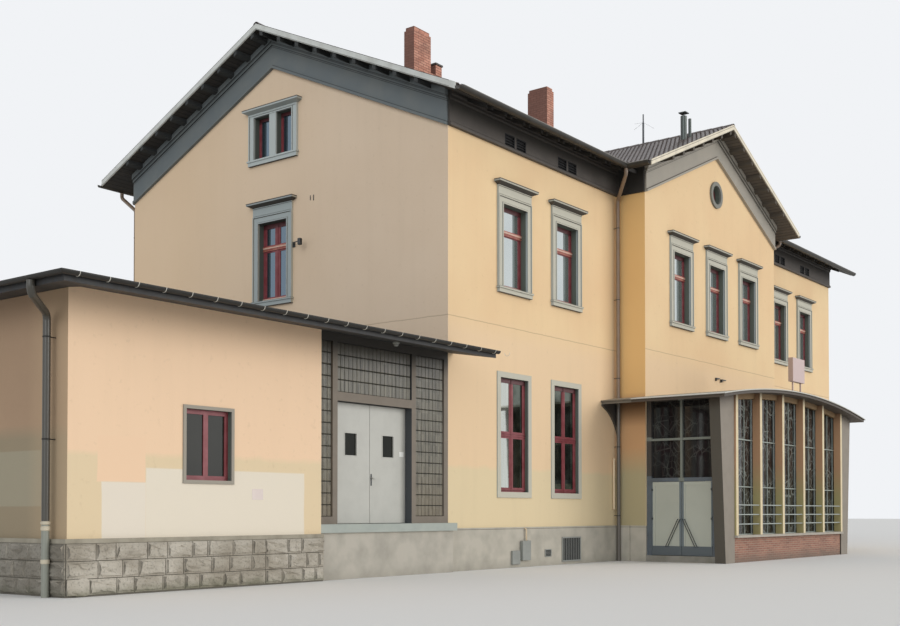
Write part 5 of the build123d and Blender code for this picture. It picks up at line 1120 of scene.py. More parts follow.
@dataclass(frozen=True)
class PipePaint(Painted):
    """Dark oil paint on the downpipes, with painted shade under the canopy, and the annex pipe's
    bare grey foot.
    """

    foot: str = "#8D8F84"
    annex: str = "#4A4740"

    def tones(self, recipe: Recipe, painted: Socket) -> Socket:
        """Return each pipe its paint, with painted shade under the canopy."""
        # Painted shade on the pipes under the canopy.
        canopy_shade = recipe.add("RAMP", recipe.z, 4.8, 4.5)
        painted = recipe.over(painted, canopy_shade, "#615B54")
        at_annex = recipe.add("LESS_THAN", recipe.x, -5.0)
        low = recipe.add("LESS_THAN", recipe.z, 1.2)
        annex = recipe.over(linear(self.annex), low, self.foot)
        return recipe.add("MIX", at_annex, painted, annex)


@dataclass(frozen=True)
class EntrancePaint(Painted):
    """Steel door leaves: grey-green stiles, pale pressed panels and blue-grey kick plates."""

    panel: str = "#B3B6AB"
    kick: str = "#565E63"

    def tones(self, recipe: Recipe, painted: Socket) -> Socket:
        """Return the paint of each part of a leaf by its place in it."""
        off = recipe.add("ABSOLUTE", recipe.add("SUBTRACT", recipe.x, BAY_MIDDLE))
        panel = recipe.over(linear(self.panel), recipe.add("NOISE", 1.5, 4.0), "#A3A69B")
        colour = recipe.add("MIX", recipe.within(off, 4.688, 4.702), painted, panel)
        aside = recipe.add("ABSOLUTE", recipe.add("SUBTRACT", recipe.y, -2.0375))
        sheet = recipe.within(aside, 0.07, 0.9)
        outer = recipe.within(off, 4.702, 4.714)
        colour = recipe.add("MIX", recipe.add("MULTIPLY", sheet, outer), colour, panel)
        bars = recipe.add("GREATER_THAN", off, 4.714)
        colour = recipe.over(colour, bars, "#34393C")
        low = recipe.add("LESS_THAN", recipe.z, 0.455)
        return recipe.over(colour, low, self.kick)


class Paint:
    """The finishes that the building shows, named for what they are on."""

    # Dark grey-green painted shade on the inside faces of the openings.
    REVEAL_SHADE = "#5F655D"

    FRONT = LimeRender(
        "ochre_render_front", "ochre_render", "#EACEA3", 0.9, openings=FRONT_OPENINGS
    )
    BAY = BayRender("ochre_render_bay", "ochre_render", "#EACEA3", 0.9, openings=UPPER_OPENINGS)
    BACK = LimeRender("ochre_render_back", "ochre_render", "#EACEA3", 0.9, openings=BACK_OPENINGS)
    GABLE = GableRender(
        "ochre_render_gable",
        "ochre_render",
        "#E3CDB4",
        0.9,
        patch="#DFC8AE",
        low_colour="#E0C9AF",
        across=Axis.Y,
        openings=GABLE_OPENINGS,
    )
    FAR_GABLE = GableRender(
        "ochre_render_far_gable",
        "ochre_render",
        "#E8CBA0",
        0.9,
        across=Axis.Y,
        openings=FAR_GABLE_OPENINGS,
    )
    ANNEX = AnnexRender(
        "peach_render",
        "peach_render",
        "#EDCDAB",
        0.9,
        patch="#EACAA8",
        low_colour="#EDCDAC",
        foot_colour="#E0CBA8",
        foot_top=2.42,
        crack=0.0,
        openings=ANNEX_OPENINGS,
        front_patches=(
            ((-10.05, -9.05, 1.93, 2.72), "#EDCCAB"),
            ((-9.96, -9.04, 0.90, 1.93), "#E3D9C9"),
            ((-9.04, -5.11, 0.90, 2.19), "#E3D9C7"),
        ),
        end_patches=(((0.467, 6.2, 1.51, 2.46), "#A19883"),),
    )
    PLINTH = CementPlinth("plinth_cement", "plinth_cement", "#B7B1A4", 0.85, damp="#A49F93")
    DOCK_PLINTH = CementPlinth("dock_cement", "plinth_cement", "#B5AFA3", 0.85, damp="#A19C91")
    STONE = QuarryStone("split_greywacke", "quarry_stone", "#BBB4A7", 0.9)
    STONE_BED = PlinthBed("plinth_bed", "quarry_stone", "#6E695F", 0.9)
    SLAB = CementPlinth("cast_concrete", "concrete_floor", "#8E8B84", 0.85)
    CHIMNEY = Brickwork(
        "chimney_brick", "brick", "#D79E88", 0.85, second="#C0836E", mortar="#6E4B3E", soot_and_shade=0.4
    )
    BASE_BRICK = Brickwork(
        "vestibule_brick",
        "brick",
        "#A3745F",
        0.8,
        second="#8A5F4E",
        mortar="#B7A391",
        foot_soil=0.7,
        length=0.3,
        row=0.065,
    )
    # The frieze's dark base colour is partly painted shade under the eaves.
    FRIEZE = FriezePaint(
        "eaves_frieze_paint", "grey_paint", "#4C4641", 0.75, worn="#5E5750", wear=0.4
    )
    # Painted light and shade: the bay's front-facing rake gets a lighter, warmer grey than the
    # gables' side-facing rakes.
    RAKE = GablePaint(
        "rake_frieze_paint",
        "grey_paint",
        "#6A7173",
        0.75,
        worn="#86867E",
        wear=0.3,
        wear_scale=1.6,
        other="#A29B8F",
        limit=BAY_FRONT + 0.4,
        grooves=(0.27, 0.3, 0.36, 0.4, 0.9),
        bay_grooves=(0.27, 0.3, 0.36, 0.4, 0.87),
    )
    # The gable side's cool grey and the dark undersides are painted light and shade.
    TRIM = SurroundPaint(
        "surround_paint",
        "grey_paint",
        "#BBB8A9",
        0.75,
        worn="#C8C2B1",
        wear=0.35,
        wear_scale=2.0,
        side="#A3ABAA",
        under="#4A4743",
    )
    VERGE = GablePaint(
        "verge_paint",
        "verge_white",
        "#D2D4CF",
        0.6,
        worn="#8D897E",
        wear=0.35,
        grain=(0.3, 8, 8),
        other="#E2D7C0",
        limit=BAY_FRONT,
        grooves=(0.105,),
        bay_grooves=(0.002, 0.112),
        tile_edge=-0.03,
    )
    JOINERY = JoineryPaint(
        "joinery_red", "window_red", "#7C3338", 0.45, worn="#A8656A", wear=0.4, wear_scale=5.0
    )
    # Dark strips that stand for the shade in the surrounds' grooves.
    GROOVE_SHADE = Painted("groove_shade_strip", "grey_paint", "#5D5A52", 0.85, worn="#47443E", wear=0.5)
    BEAM = Painted("vault_beam_paint", "taupe_concrete", "#7F6646", 0.8, worn="#665238", wear=0.5)
    # The transom mouldings' pale worn colour is partly wear and partly painted highlight.
    TRANSOM = Painted(
        "transom_red", "window_red", "#A5564B", 0.45, worn="#D9A58A", wear=0.6, wear_scale=6.0
    )
    # The piers' dark left sides and their tops under the vault are painted shade.
    PIER = SidedPaint(
        "pier_paint",
        "taupe_concrete",
        "#8A8175",
        0.7,
        worn="#786F63",
        wear=0.4,
        texture=0.003,
        side="#4D483F",
        painted_shade_from=0.5,
    )
    # Pale pink painted highlight along the transoms' and sills' tops.
    TRANSOM_HIGHLIGHT = Painted(
        "transom_painted_highlight", "window_red", "#D9BBA8", 0.4, worn="#C98F7C", wear=0.6, wear_scale=8.0
    )
    BLOCK_JOINT = Painted("block_joint", "glass_block", "#2B2924", 0.9, worn="#3B382F", wear=0.4)
    BLOCK_FRAME = DockPaint(
        "block_frame_paint", "taupe_concrete", "#7D7367", 0.7, worn="#655D52", wear=0.4
    )
    LEDGE = Painted("ledge_paint", "ledge_paint", "#A3A9A1", 0.6, worn="#8E9691", wear=0.5)
    GOODS_DOOR = Painted(
        "goods_door_paint", "door_grey", "#B8B7AF", 0.4, worn="#A3A29A", wear=0.35
    )
    # Painted shade: the screens' steel is darker over 2.45 m than the blue-grey below.
    FRAME_STEEL = ScreenPaint(
        "steel_frame_paint",
        "frame_steel",
        "#423F3C",
        0.4,
        worn="#2E2C2A",
        wear=0.3,
        other="#59626A",
        across=Axis.Z,
        limit=2.45,
    )
    GLAZING = Painted("glazing_bar_paint", "frame_steel", "#9AA29B", 0.4, worn="#6C736E", wear=0.4)
    RAIL = Painted("rail_paint", "frame_steel", "#A9B0AB", 0.35, worn="#7D847F", wear=0.3)
    ENTRANCE = EntrancePaint(
        "entrance_door_paint", "frame_steel", "#626C72", 0.45, worn="#767F80", wear=0.35
    )
    SILL = Painted("sill_paint", "taupe_concrete", "#A8A195", 0.7, worn="#857D70", wear=0.4)
    LAMP = Painted("lamp_enamel", "mast_steel", "#26292B", 0.35, worn="#3C3F40", wear=0.3)
    BOX = Painted("service_box_paint", "door_grey", "#8E908B", 0.5, worn="#6E706B", wear=0.4)
    PLATE = Painted("bare_plate", "door_grey", "#E4E4DF", 0.3, worn="#C9C9C2", wear=0.3)
    # Pale zinc, partly a painted glint on the annex gutter's straps.
    ZINC_STRAP_GLINT = Painted("zinc_strap", "sheet_zinc", "#DCD9CE", 0.4, worn="#A9A69B", wear=0.3)
    # Pale grey of the gutters' lips, a painted highlight.
    LIP_HIGHLIGHT = Painted("gutter_lip", "sheet_zinc", "#8E8A84", 0.4, worn="#5C5954", wear=0.5)
    NOTICE = Painted("bare_notice", "sign_pale", "#DCCFC8", 0.5, worn="#CDB9B3", wear=0.5)
    LEAD = Painted("hood_lead", "sheet_zinc", "#45403C", 0.6, worn="#68625B", wear=0.5)
    # Near-black sheets that stand for the shade inside openings.
    VOID_SHADE = Painted("vent_dark", "frame_steel", "#1C1C1B", 0.8, worn="#2A2927", wear=0.3)
    # The fins' brown left sides and their tops under the vault are painted light and shade.
    FIN = SidedPaint(
        "fin_paint",
        "fin_cream",
        "#DDCDAA",
        0.75,
        worn="#C3AE88",
        wear=0.4,
        texture=0.002,
        side="#B28A68",
        side_low="#A29768",
        painted_shade_from=0.45,
    )
    # The sign's darker left side is painted shade.
    SIGN = SidedPaint("sign_panel", "sign_pale", "#C6AFAA", 0.35, worn="#C0A09C", side="#B09587")
    TILES = Pantile("engobed_pantiles", "roof_tile", "#4E4542", 0.36, second="#645955")
    # The soffits' near-black colours are partly painted shade under the eaves.
    SOFFIT_X = SoffitBoards("soffit_boards_main", "roof_tile", "#2E2C2A", 0.8, pale="#3B3835")
    SOFFIT_Y = SoffitBoards(
        "soffit_boards_bay", "roof_tile", "#544D45", 0.8, along=Axis.Y, pale="#645B51"
    )
    GUTTER = GutterPaint(
        "gutter_paint",
        "sheet_zinc",
        "#33312D",
        0.45,
        worn="#4C4842",
        wear=0.4,
        wear_scale=2.0,
        sheen=0.35,
    )
    PIPE = PipePaint("pipe_paint", "sheet_zinc", "#7F6C5B", 0.3, worn="#96836F", wear=0.4)
    COLLAR = Painted("pipe_collar", "sheet_zinc", "#CDC3AC", 0.5, worn="#9E9684", wear=0.4)
    CREAM_PIPE = Painted(
        "cream_pipe_paint", "sheet_zinc", "#D3BFA0", 0.5, worn="#A8977C", wear=0.3
    )
    ROOFING = Sheet("annex_roof_sheet", "sheet_zinc", "#2C2926", 0.65, metal=0.0)
    # The vault's side and under colours are painted shade.
    VAULT = VaultSheet(
        "vault_sheet",
        "sheet_zinc",
        "#8C8578",
        0.6,
        worn="#A8A294",
        wear=0.5,
        side="#6A6358",
        under="#3E3A34",
    )
    FLUE = FluePipe("stainless_flue", "flue_steel", "#C6C8C6", 0.35)
    MAST = Sheet("galvanised_mast", "mast_steel", "#6B6E70", 0.45)
    PANE = Pane("float_glass", "window_glass", "#1D1E1A", 0.1, tint="#272823", level=0.12)
    LINED_PANE = LinedPane("shop_front_glass", "window_glass", "#1B1A1C", 0.06)
    PAINTED_REFLECTION_PANE = PaintedReflectionPane("glass_painted_reflection", "window_glass", "#D6DBD8", 0.04)
    BLOCK = RibbedBlock("ribbed_glass_block", "glass_block", "#45433A", 0.3, tone_and_highlight="#7C7767")


def deselect() -> None:
    """Leave nothing selected, in object mode."""
    if bpy.context.object and bpy.context.object.mode != "OBJECT":
        bpy.ops.object.mode_set(mode="OBJECT")
    bpy.ops.object.select_all(action="DESELECT")


def take(piece: Piece) -> Piece:
    """Select one piece alone and make it active."""
    deselect()
    piece.select_set(True)
    bpy.context.view_layer.objects.active = piece
    return piece


def settle(piece: Piece) -> Piece:
    """Bring a piece's place into its mesh, so that its object sits at the origin."""
    take(piece)
    bpy.ops.object.transform_apply(location=True, rotation=True, scale=True)
    return piece


def modify(piece: Piece, kind: str, **settings: object) -> Piece:
    """Add one modifier with its settings and apply it.

    Args:
        piece: The piece to change.
        kind: The modifier's type name.
        **settings: The modifier's properties.

    Returns:
        The piece.
    """
    take(piece)
    modifier = piece.modifiers.new(kind.lower(), kind)
    for name, value in settings.items():
        setattr(modifier, name, value)
    bpy.ops.object.modifier_apply(modifier=modifier.name)
    return piece


def slab(low: Point, high: Point, bevel: float = 0.004) -> Piece:
    """Make a squared piece with eased edges between two corners.

    Args:
        low: The lowest corner, in the building's metres.
        high: The highest corner.
        bevel: Width of the eased edges.

    Returns:
        The piece, settled.
    """
    deselect()
    start, end = place(*low), place(*high)
    bpy.ops.mesh.primitive_cube_add(size=1, location=(start + end) / 2)
    piece = bpy.context.object
    piece.scale = end - start
    settle(piece)
    if bevel:
        modify(piece, "BEVEL", width=bevel, segments=2, limit_method="ANGLE")
    return piece


def rod(start: Point, end: Point, radius: float, sides: int = 12) -> Piece:
    """Make a round bar between two points of the building, its rims eased."""
    deselect()
    first, last = place(*start), place(*end)
    run = last - first
    bpy.ops.mesh.primitive_cylinder_add(
        vertices=sides, radius=radius, depth=run.length, location=(first + last) / 2
    )
    piece = bpy.context.object
    piece.rotation_euler = run.to_track_quat("Z", "Y").to_euler()
    settle(piece)
    modify(piece, "BEVEL", width=radius / 6, segments=1, limit_method="ANGLE")
    take(piece)
    bpy.ops.object.shade_smooth_by_angle(angle=math.radians(40))
    return piece


def repeat(piece: Piece, count: int, step: Point) -> Piece:
    """Copy a piece in a row inside its own mesh."""
    return modify(
        piece,
        "ARRAY",
        count=count,
        use_relative_offset=False,
        use_constant_offset=True,
        constant_offset_displace=step,
    )


def joined(pieces: Sequence[Piece]) -> Piece:
    """Join several pieces into the first one, or return the only piece there is."""
    if len(pieces) == 1:
        return pieces[0]
    deselect()
    for piece in pieces:
        piece.select_set(True)
    bpy.context.view_layer.objects.active = pieces[0]
    bpy.ops.object.join()
    return pieces[0]


def fit(
    piece: Piece,
    name: str,
    finish: Finish,
    body: Body = Body.BUILDING,
    replaced: Sequence[str] = (),
) -> Piece:
    """Name, dress and mount a finished piece.

    Args:
        piece: The finished mesh.
        name: The piece's name.
        finish: What it is painted with or made of.
        body: The rigid body that carries it.
        replaced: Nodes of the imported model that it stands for.

    Returns:
        The piece.
    """
    piece.name = name
    finish.dress(piece)
    if replaced:
        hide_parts(*replaced)
    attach(piece, body.value)
    log.info("%s: %d faces", name, len(piece.data.polygons))
    return piece


def cut_upright(piece: Piece, through: Point, normal: Point) -> Piece:
    """Cut a piece by a plane and clear what lies on the normal's side."""
    take(piece)
    bpy.ops.object.mode_set(mode="EDIT")
    bpy.ops.mesh.select_all(action="SELECT")
    bpy.ops.mesh.bisect(
        plane_co=place(*through), plane_no=normal, clear_outer=True, clear_inner=False
    )
    bpy.ops.object.mode_set(mode="OBJECT")
    return piece


@dataclass
class TiledRoofs:
    """Pantiles, ridge caps and valleys of the main roof and the bay's cross roof."""

    tile_width: float = 0.15
    course: float = 0.34
    crown: float = 0.03
    lift: float = 0.022
    lip: float = 0.02
    ridge_radius: float = 0.1
    ridge_drop: float = 0.03
    ridge_tile: float = 0.38

    def tile(self) -> Piece:
        """Shape one pantile on the ground, its lower edge at Y zero and its hollow at X zero."""
        deselect()
        bpy.ops.mesh.primitive_grid_add(x_subdivisions=5, y_subdivisions=1, size=1)
        piece = bpy.context.object
        piece.scale = (self.tile_width, self.course + 0.03, 1)
        piece.location = (self.tile_width / 2, (self.course + 0.03) / 2, 0)
        settle(piece)
        wave = [0.0, 0.1, 0.9, 0.9, 0.1, 0.0]
        bpy.ops.object.mode_set(mode="EDIT")
        for column, height in enumerate(wave):
            bpy.ops.mesh.select_all(action="DESELECT")
            bpy.ops.object.mode_set(mode="OBJECT")
            middle = column * self.tile_width / 5
            for vertex in piece.data.vertices:
                vertex.select = abs(vertex.co.x - middle) < 0.001
            bpy.ops.object.mode_set(mode="EDIT")
            bpy.ops.transform.translate(value=(0, 0, height * self.crown))
        bpy.ops.mesh.select_all(action="DESELECT")
        bpy.ops.object.mode_set(mode="OBJECT")
        for vertex in piece.data.vertices:
            vertex.select = vertex.co.y < 0.001
        for edge in piece.data.edges:
            ends = [piece.data.vertices[index] for index in edge.vertices]
            edge.select = all(end.co.y < 0.001 for end in ends)
        bpy.ops.object.mode_set(mode="EDIT")
        bpy.ops.transform.translate(value=(0, 0, self.lift))
        bpy.ops.mesh.extrude_region_move(TRANSFORM_OT_translate={"value": (0, 0, -self.lip)})
        bpy.ops.object.mode_set(mode="OBJECT")
        take(piece)
        bpy.ops.object.shade_smooth_by_angle(angle=math.radians(50))
        return piece

    def sheet(self, width: float, length: float) -> Piece:
        """Lay tiles side by side and course over course.

        Args:
            width: Run along the eave.
            length: Run up the slope.

        Returns:
            The tiled sheet, with its near lower corner at the world's origin.
        """
        piece = self.tile()
        columns = math.ceil(width / self.tile_width)
        rows = math.ceil(length / self.course)
        repeat(piece, columns, (width / columns, 0, 0))
        repeat(piece, rows, (0, length / rows, 0))
        return piece

    def lay(self, piece: Piece, start: Point, pitch: float, turn: float) -> Piece:
        """Tilt a sheet to its pitch, turn it and move it to its eave corner."""
        piece.rotation_euler = (pitch, 0, turn)
        piece.location = place(*start)
        return settle(piece)

    def main_slopes(self) -> None:
        """Tile both slopes of the main roof, the front one cut along the valleys."""
        left = -VERGE_OVERHANG + 0.04
        width = MAIN_LENGTH + 2 * VERGE_OVERHANG - 0.08
        length = (MAIN_MIDDLE + EAVE_OVERHANG) / math.cos(MAIN_PITCH)
        eave = (left, -EAVE_OVERHANG, EAVE_TOP)
        half = BAY_MIDDLE - left
        rise = VALLEY_HEAD - (BAY_EAVE - EAVE_TOP) / math.tan(MAIN_PITCH) + EAVE_OVERHANG
        near = self.lay(self.sheet(half, length), eave, MAIN_PITCH, 0)
        cut_upright(near, (BAY_MIDDLE, VALLEY_HEAD, 0), (rise, -BAY_RUN, 0))
        far_start = (BAY_MIDDLE, -EAVE_OVERHANG, EAVE_TOP)
        far = self.lay(self.sheet(width - half, length), far_start, MAIN_PITCH, 0)
        cut_upright(far, (BAY_MIDDLE, VALLEY_HEAD, 0), (-rise, -BAY_RUN, 0))
        fit(joined([near, far]), "tiles_main_front", Paint.TILES)
        back_start = (left + width, MAIN_DEPTH + EAVE_OVERHANG, EAVE_TOP)
        back = self.lay(self.sheet(width, length), back_start, MAIN_PITCH, math.pi)
        fit(back, "tiles_main_back", Paint.TILES)

    def bay_slopes(self) -> None:
        """Tile both slopes of the bay's cross roof, cut along the valleys."""
        length = BAY_RUN / math.cos(BAY_PITCH)
        verge = BAY_VERGE + 0.04
        valley_foot = -EAVE_OVERHANG + (BAY_EAVE - EAVE_TOP) / math.tan(MAIN_PITCH)
        rise = VALLEY_HEAD - valley_foot
        width = VALLEY_HEAD + 0.2 - verge
        starts = {
            "left": ((BAY_MIDDLE - BAY_RUN, verge + width, BAY_EAVE), -1, (-rise, BAY_RUN, 0)),
            "right": ((BAY_MIDDLE + BAY_RUN, verge, BAY_EAVE), 1, (rise, BAY_RUN, 0)),
        }
        for side, (start, way, normal) in starts.items():
            piece = self.lay(self.sheet(width, length), start, BAY_PITCH, way * math.pi / 2)
            cut_upright(piece, (BAY_MIDDLE, VALLEY_HEAD, 0), normal)
            fit(piece, f"tiles_bay_{side}", Paint.TILES)

    def ridge(self, name: str, start: Point, end: Point) -> None:
        """Lay half-round ridge tiles between two points of a ridge."""
        drop = Vector((0, 0, self.ridge_drop))
        first, last = Vector(start) - drop, Vector(end) - drop
        run = last - first
        count = round(run.length / self.ridge_tile)
        step = run / count
        deselect()
        bpy.ops.mesh.primitive_cone_add(
            vertices=16,
            radius1=self.ridge_radius + 0.012,
            radius2=self.ridge_radius,
            depth=step.length + 0.03,
            location=place(*(first + step / 2)),
            end_fill_type="NOTHING",
        )
        piece = bpy.context.object
        piece.rotation_euler = run.to_track_quat("Z", "Y").to_euler()
        settle(piece)
        cut_upright(piece, (start[0], start[1], start[2] - self.ridge_drop - 0.03), (0, 0, -1))
        repeat(piece, count, tuple(step))
        modify(piece, "SOLIDIFY", thickness=0.014, offset=-1)
        take(piece)
        bpy.ops.object.shade_smooth_by_angle(angle=math.radians(50))
        fit(piece, name, Paint.TILES)

    def build(self) -> None:
        """Lay all tiles and ridge caps."""
        self.main_slopes()
        self.bay_slopes()
        left, right = -VERGE_OVERHANG + 0.02, MAIN_LENGTH + VERGE_OVERHANG - 0.02
        self.ridge("ridge_main", (left, MAIN_MIDDLE, RIDGE_TOP), (right, MAIN_MIDDLE, RIDGE_TOP))
        self.ridge(
            "ridge_bay", (BAY_MIDDLE, BAY_VERGE + 0.02, BAY_RIDGE), (
                BAY_MIDDLE, VALLEY_HEAD, BAY_RIDGE
            )
        )


@dataclass(frozen=True)
class WallFace:
    """An upright wall face: the axis along it, its place on the other and its way out."""

    along: Axis
    place: float
    out: float

    def bar(self, span: Span, near: float, far: float, bevel: float = 0.003) -> Piece:
        """Make a squared bar on the wall.

        Args:
            span: Left, right, foot and head on the wall.
            near: How far out of the face it starts, negative within the wall.
            far: How far out of the face it ends.
            bevel: Width of its eased edges.

        Returns:
            The bar.
        """
        left, right, foot, head = span
        first, last = sorted((self.place + self.out * near, self.place + self.out * far))
        if self.along is Axis.X:
            return slab((left, first, foot), (right, last, head), bevel)
        return slab((first, left, foot), (last, right, head), bevel)

    def border(self, span: Span, width: float, near: float, far: float) -> list[Piece]:
        """Make two uprights and a head round an opening, outside its span."""
        left, right, foot, head = span
        return [
            self.bar((left - width, left, foot, head), near, far, 0.0),
            self.bar((right, right + width, foot, head), near, far, 0.0),
            self.bar((left - width, right + width, head, head + width), near, far, 0.0),
        ]


FRONT_FACE = WallFace(Axis.X, 0.0, -1)
BAY_FACE = WallFace(Axis.X, BAY_FRONT, -1)
BACK_FACE = WallFace(Axis.X, MAIN_DEPTH, 1)
NEAR_GABLE = WallFace(Axis.Y, 0.0, -1)
FAR_GABLE = WallFace(Axis.Y, MAIN_LENGTH, 1)
ANNEX_FACE = WallFace(Axis.X, ANNEX_FRONT, -1)
PLINTH_FACE = WallFace(Axis.X, -0.06, -1)
DOOR_FACE = WallFace(Axis.X, 0.19, -1)


@dataclass
class Walls:
    """Rendered walls, plinths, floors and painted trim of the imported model."""

    def build(self) -> None:
        """Dress every wall, plinth, floor and trim node."""
        Paint.FRONT.dress_nodes("wing_front_walls")
        Paint.BAY.dress_nodes("risalit_front_wall", "risalit_side_walls", "risalit_front_piers")
        Paint.BACK.dress_nodes("back_wall")
        Paint.GABLE.dress_nodes("gable_wall_left")
        Paint.FAR_GABLE.dress_nodes("gable_wall_right")
        Paint.PLINTH.dress_nodes("plinth_long_sides", "plinth_cross_sides")
        Paint.SLAB.dress_nodes(
            "ground_floor", "first_floor", "attic_floor", "annex_floor", "vestibule_floor"
        )
        Paint.FRIEZE.dress_nodes("eaves_friezes")
        Paint.RAKE.dress_nodes("rake_friezes")
        Paint.TRIM.dress_nodes("window_surrounds")
        Paint.VERGE.dress_nodes("verge_boards")
        Paint.JOINERY.dress_nodes("upper_window_frames", "lower_window_frames")
        Paint.PAINTED_REFLECTION_PANE.dress_nodes("window_glass")
        Paint.SOFFIT_X.dress_nodes("roof_front", "roof_back")
        Paint.SOFFIT_Y.dress_nodes("risalit_roof_left", "risalit_roof_right")
        Paint.GUTTER.dress_nodes("eaves_gutters")
        Paint.PIPE.dress_nodes("downpipes")
        Paint.CHIMNEY.dress_nodes("chimneys")
        Paint.FLUE.dress_nodes("flues")
        Paint.MAST.dress_nodes("antenna_mast")


@dataclass
class Windows:
    """Panes, transom mouldings and the fine mouldings of the window surrounds."""

    upper_setback: float = 0.16
    lower_setback: float = 0.09
    pane_inset: float = 0.02
    pane: float = 0.006
    architrave: float = 0.205
    architrave_proud: float = 0.05
    hood_frieze: float = 0.245
    frame: float = 0.085
    upper_transom: tuple[float, float] = (8.5325, 8.6475)
    lower_transom: tuple[float, float] = (3.3375, 3.4525)

    def upper_walls(self) -> list[tuple[WallFace, tuple[Span, ...]]]:
        """Return each wall with its upper windows."""
        wings = storey(WING_WINDOWS, UPPER_HALF, UPPER_STOREY)
        bay = storey(BAY_WINDOWS, UPPER_HALF, UPPER_STOREY)
        gable = storey((MAIN_MIDDLE,), UPPER_HALF, UPPER_STOREY)
        return [
            (FRONT_FACE, wings),
            (BAY_FACE, bay),
            (BACK_FACE, wings + bay),
            (NEAR_GABLE, gable),
            (FAR_GABLE, gable),
        ]

    def lower_walls(self) -> list[tuple[WallFace, tuple[Span, ...]]]:
        """Return each wall with its lower windows."""
        wings = storey(WING_WINDOWS, LOWER_HALF, LOWER_STOREY)
        bay = storey(BAY_WINDOWS, LOWER_HALF, LOWER_STOREY)
        gable = storey((MAIN_MIDDLE,), LOWER_HALF, LOWER_STOREY)
        return [(FRONT_FACE, wings), (BACK_FACE, wings + bay), (FAR_GABLE, gable)]

    def glaze(self, face: WallFace, span: Span, setback: float) -> Piece:
        """Set one pane into the rebate of its frame."""
        left, right, foot, head = span
        inner = (left + 0.03, right - 0.03, foot + 0.03, head - 0.03)
        near = -setback - self.pane_inset
        return face.bar(inner, near - self.pane, near, 0.001)

    def panes(self) -> None:
        """Glaze every window."""
        panes = []
        for face, spans in self.upper_walls():
            panes += [self.glaze(face, span, self.upper_setback) for span in spans]
        for face, spans in self.lower_walls():
            panes += [self.glaze(face, span, self.lower_setback) for span in spans]
        dark = [self.glaze(ANNEX_FACE, span, self.lower_setback) for span in ANNEX_OPENINGS]
        fit(joined(dark), "annex_panes", Paint.PANE)
        for face in (NEAR_GABLE, FAR_GABLE):
            panes += [self.glaze(face, span, self.upper_setback) for span in ATTIC_LIGHTS]
        x, z, radius = OCULUS
        front = BAY_FRONT + self.upper_setback + self.pane_inset
        panes.append(rod((x, front, z), (x, front + self.pane, z), radius - 0.03, 32))
        fit(joined(panes), "window_panes", Paint.PAINTED_REFLECTION_PANE, replaced=("window_glass",))

    def transoms(self) -> None:
        """Run a drip, a hollow and a cap along each upper transom, and a drip at its sill, with
        pale bands on both as painted highlights.
        """
        bars, bands = [], []
        profile = ((8.532, 8.556, 0.03), (8.572, 8.62, 0.014), (8.63, 8.654, 0.036))
        start = -self.upper_setback
        for face, spans in self.upper_walls():
            for left, right, foot, _ in spans:
                for low, high, proud in profile:
                    span = (left + 0.005, right - 0.005, low, high)
                    bars.append(face.bar(span, start - 0.01, start + proud, 0.0))
                # Pale bands on the transom and the sill drip are painted highlights.
                for low, high in ((8.596, 8.628), (foot + 0.055, foot + 0.085)):
                    span = (left + 0.005, right - 0.005, low, high)
                    bands.append(face.bar(span, start - 0.01, start + 0.032, 0.0))
        fit(joined(bars), "transom_mouldings", Paint.TRANSOM)
        fit(joined(bands), "transom_bands", Paint.TRANSOM_HIGHLIGHT)
        beads = []
        for face, spans in self.lower_walls():
            for left, right, foot, head in spans:
                start = -self.lower_setback
                middle = (left + right) / 2
                upright = (middle - 0.022, middle + 0.022, foot + 0.02, head - 0.02)
                beads.append(face.bar(upright, start - 0.01, start + 0.016))
                for low in (3.36, 3.42, foot + 0.05):
                    span = (left + 0.005, right - 0.005, low, low + 0.02)
                    beads.append(face.bar(span, start - 0.01, start + 0.026))
        for face in (NEAR_GABLE, FAR_GABLE):
            upright = (MAIN_MIDDLE - 0.022, MAIN_MIDDLE + 0.022, 7.2, 9.2)
            start = -self.upper_setback
            beads.append(face.bar(upright, start - 0.01, start + 0.016))
        fit(joined(beads), "window_astragals", Paint.JOINERY)

    def sash(self, face: WallFace, span: Span, setback: float, width: float) -> list:
        """Frame one light of a window with its sash."""
        left, right, foot, head = span
        inner = (left + width, right - width, foot + width, head - width)
        near, far = -setback - 0.03, -setback - 0.004
        bars = face.border(inner, width, near, far)
        bars.append(face.bar((left, right, foot, foot + width), near, far))
        return bars

    def lights(
        self, foot: float, head: float, transom: tuple[float, float]
    ) -> tuple[tuple[float, float], tuple[float, float]]:
        """Return the foot and head of the lights under and over a window's transom."""
        return (foot + self.frame, transom[0]), (transom[1], head - self.frame)

    def sashes(self) -> None:
        """Hang a sash in each light of the windows."""
        bars = []
        for face, spans in self.upper_walls():
            split = face.along is Axis.Y
            for left, right, foot, head in spans:
                middle = (left + right) / 2
                first, last = left + self.frame, right - self.frame
                halves = ((first, middle - 0.0575), (middle + 0.0575, last))
                across = halves if split else ((first, last),)
                for low, high in self.lights(foot, head, self.upper_transom):
                    for first, last in across:
                        span = (first, last, low, high)
                        width = 0.042 if split else 0.026
                        bars += self.sash(face, span, self.upper_setback, width)
        for face, spans in self.lower_walls():
            for left, right, foot, head in spans:
                middle = (left + right) / 2
                halves = ((left + self.frame, middle - 0.05), (middle + 0.05, right - self.frame))
                for low, high in self.lights(foot, head, self.lower_transom):
                    for first, last in halves:
                        bars += self.sash(face, (first, last, low, high), self.lower_setback, 0.03)
        fit(joined(bars), "window_sashes", Paint.JOINERY)

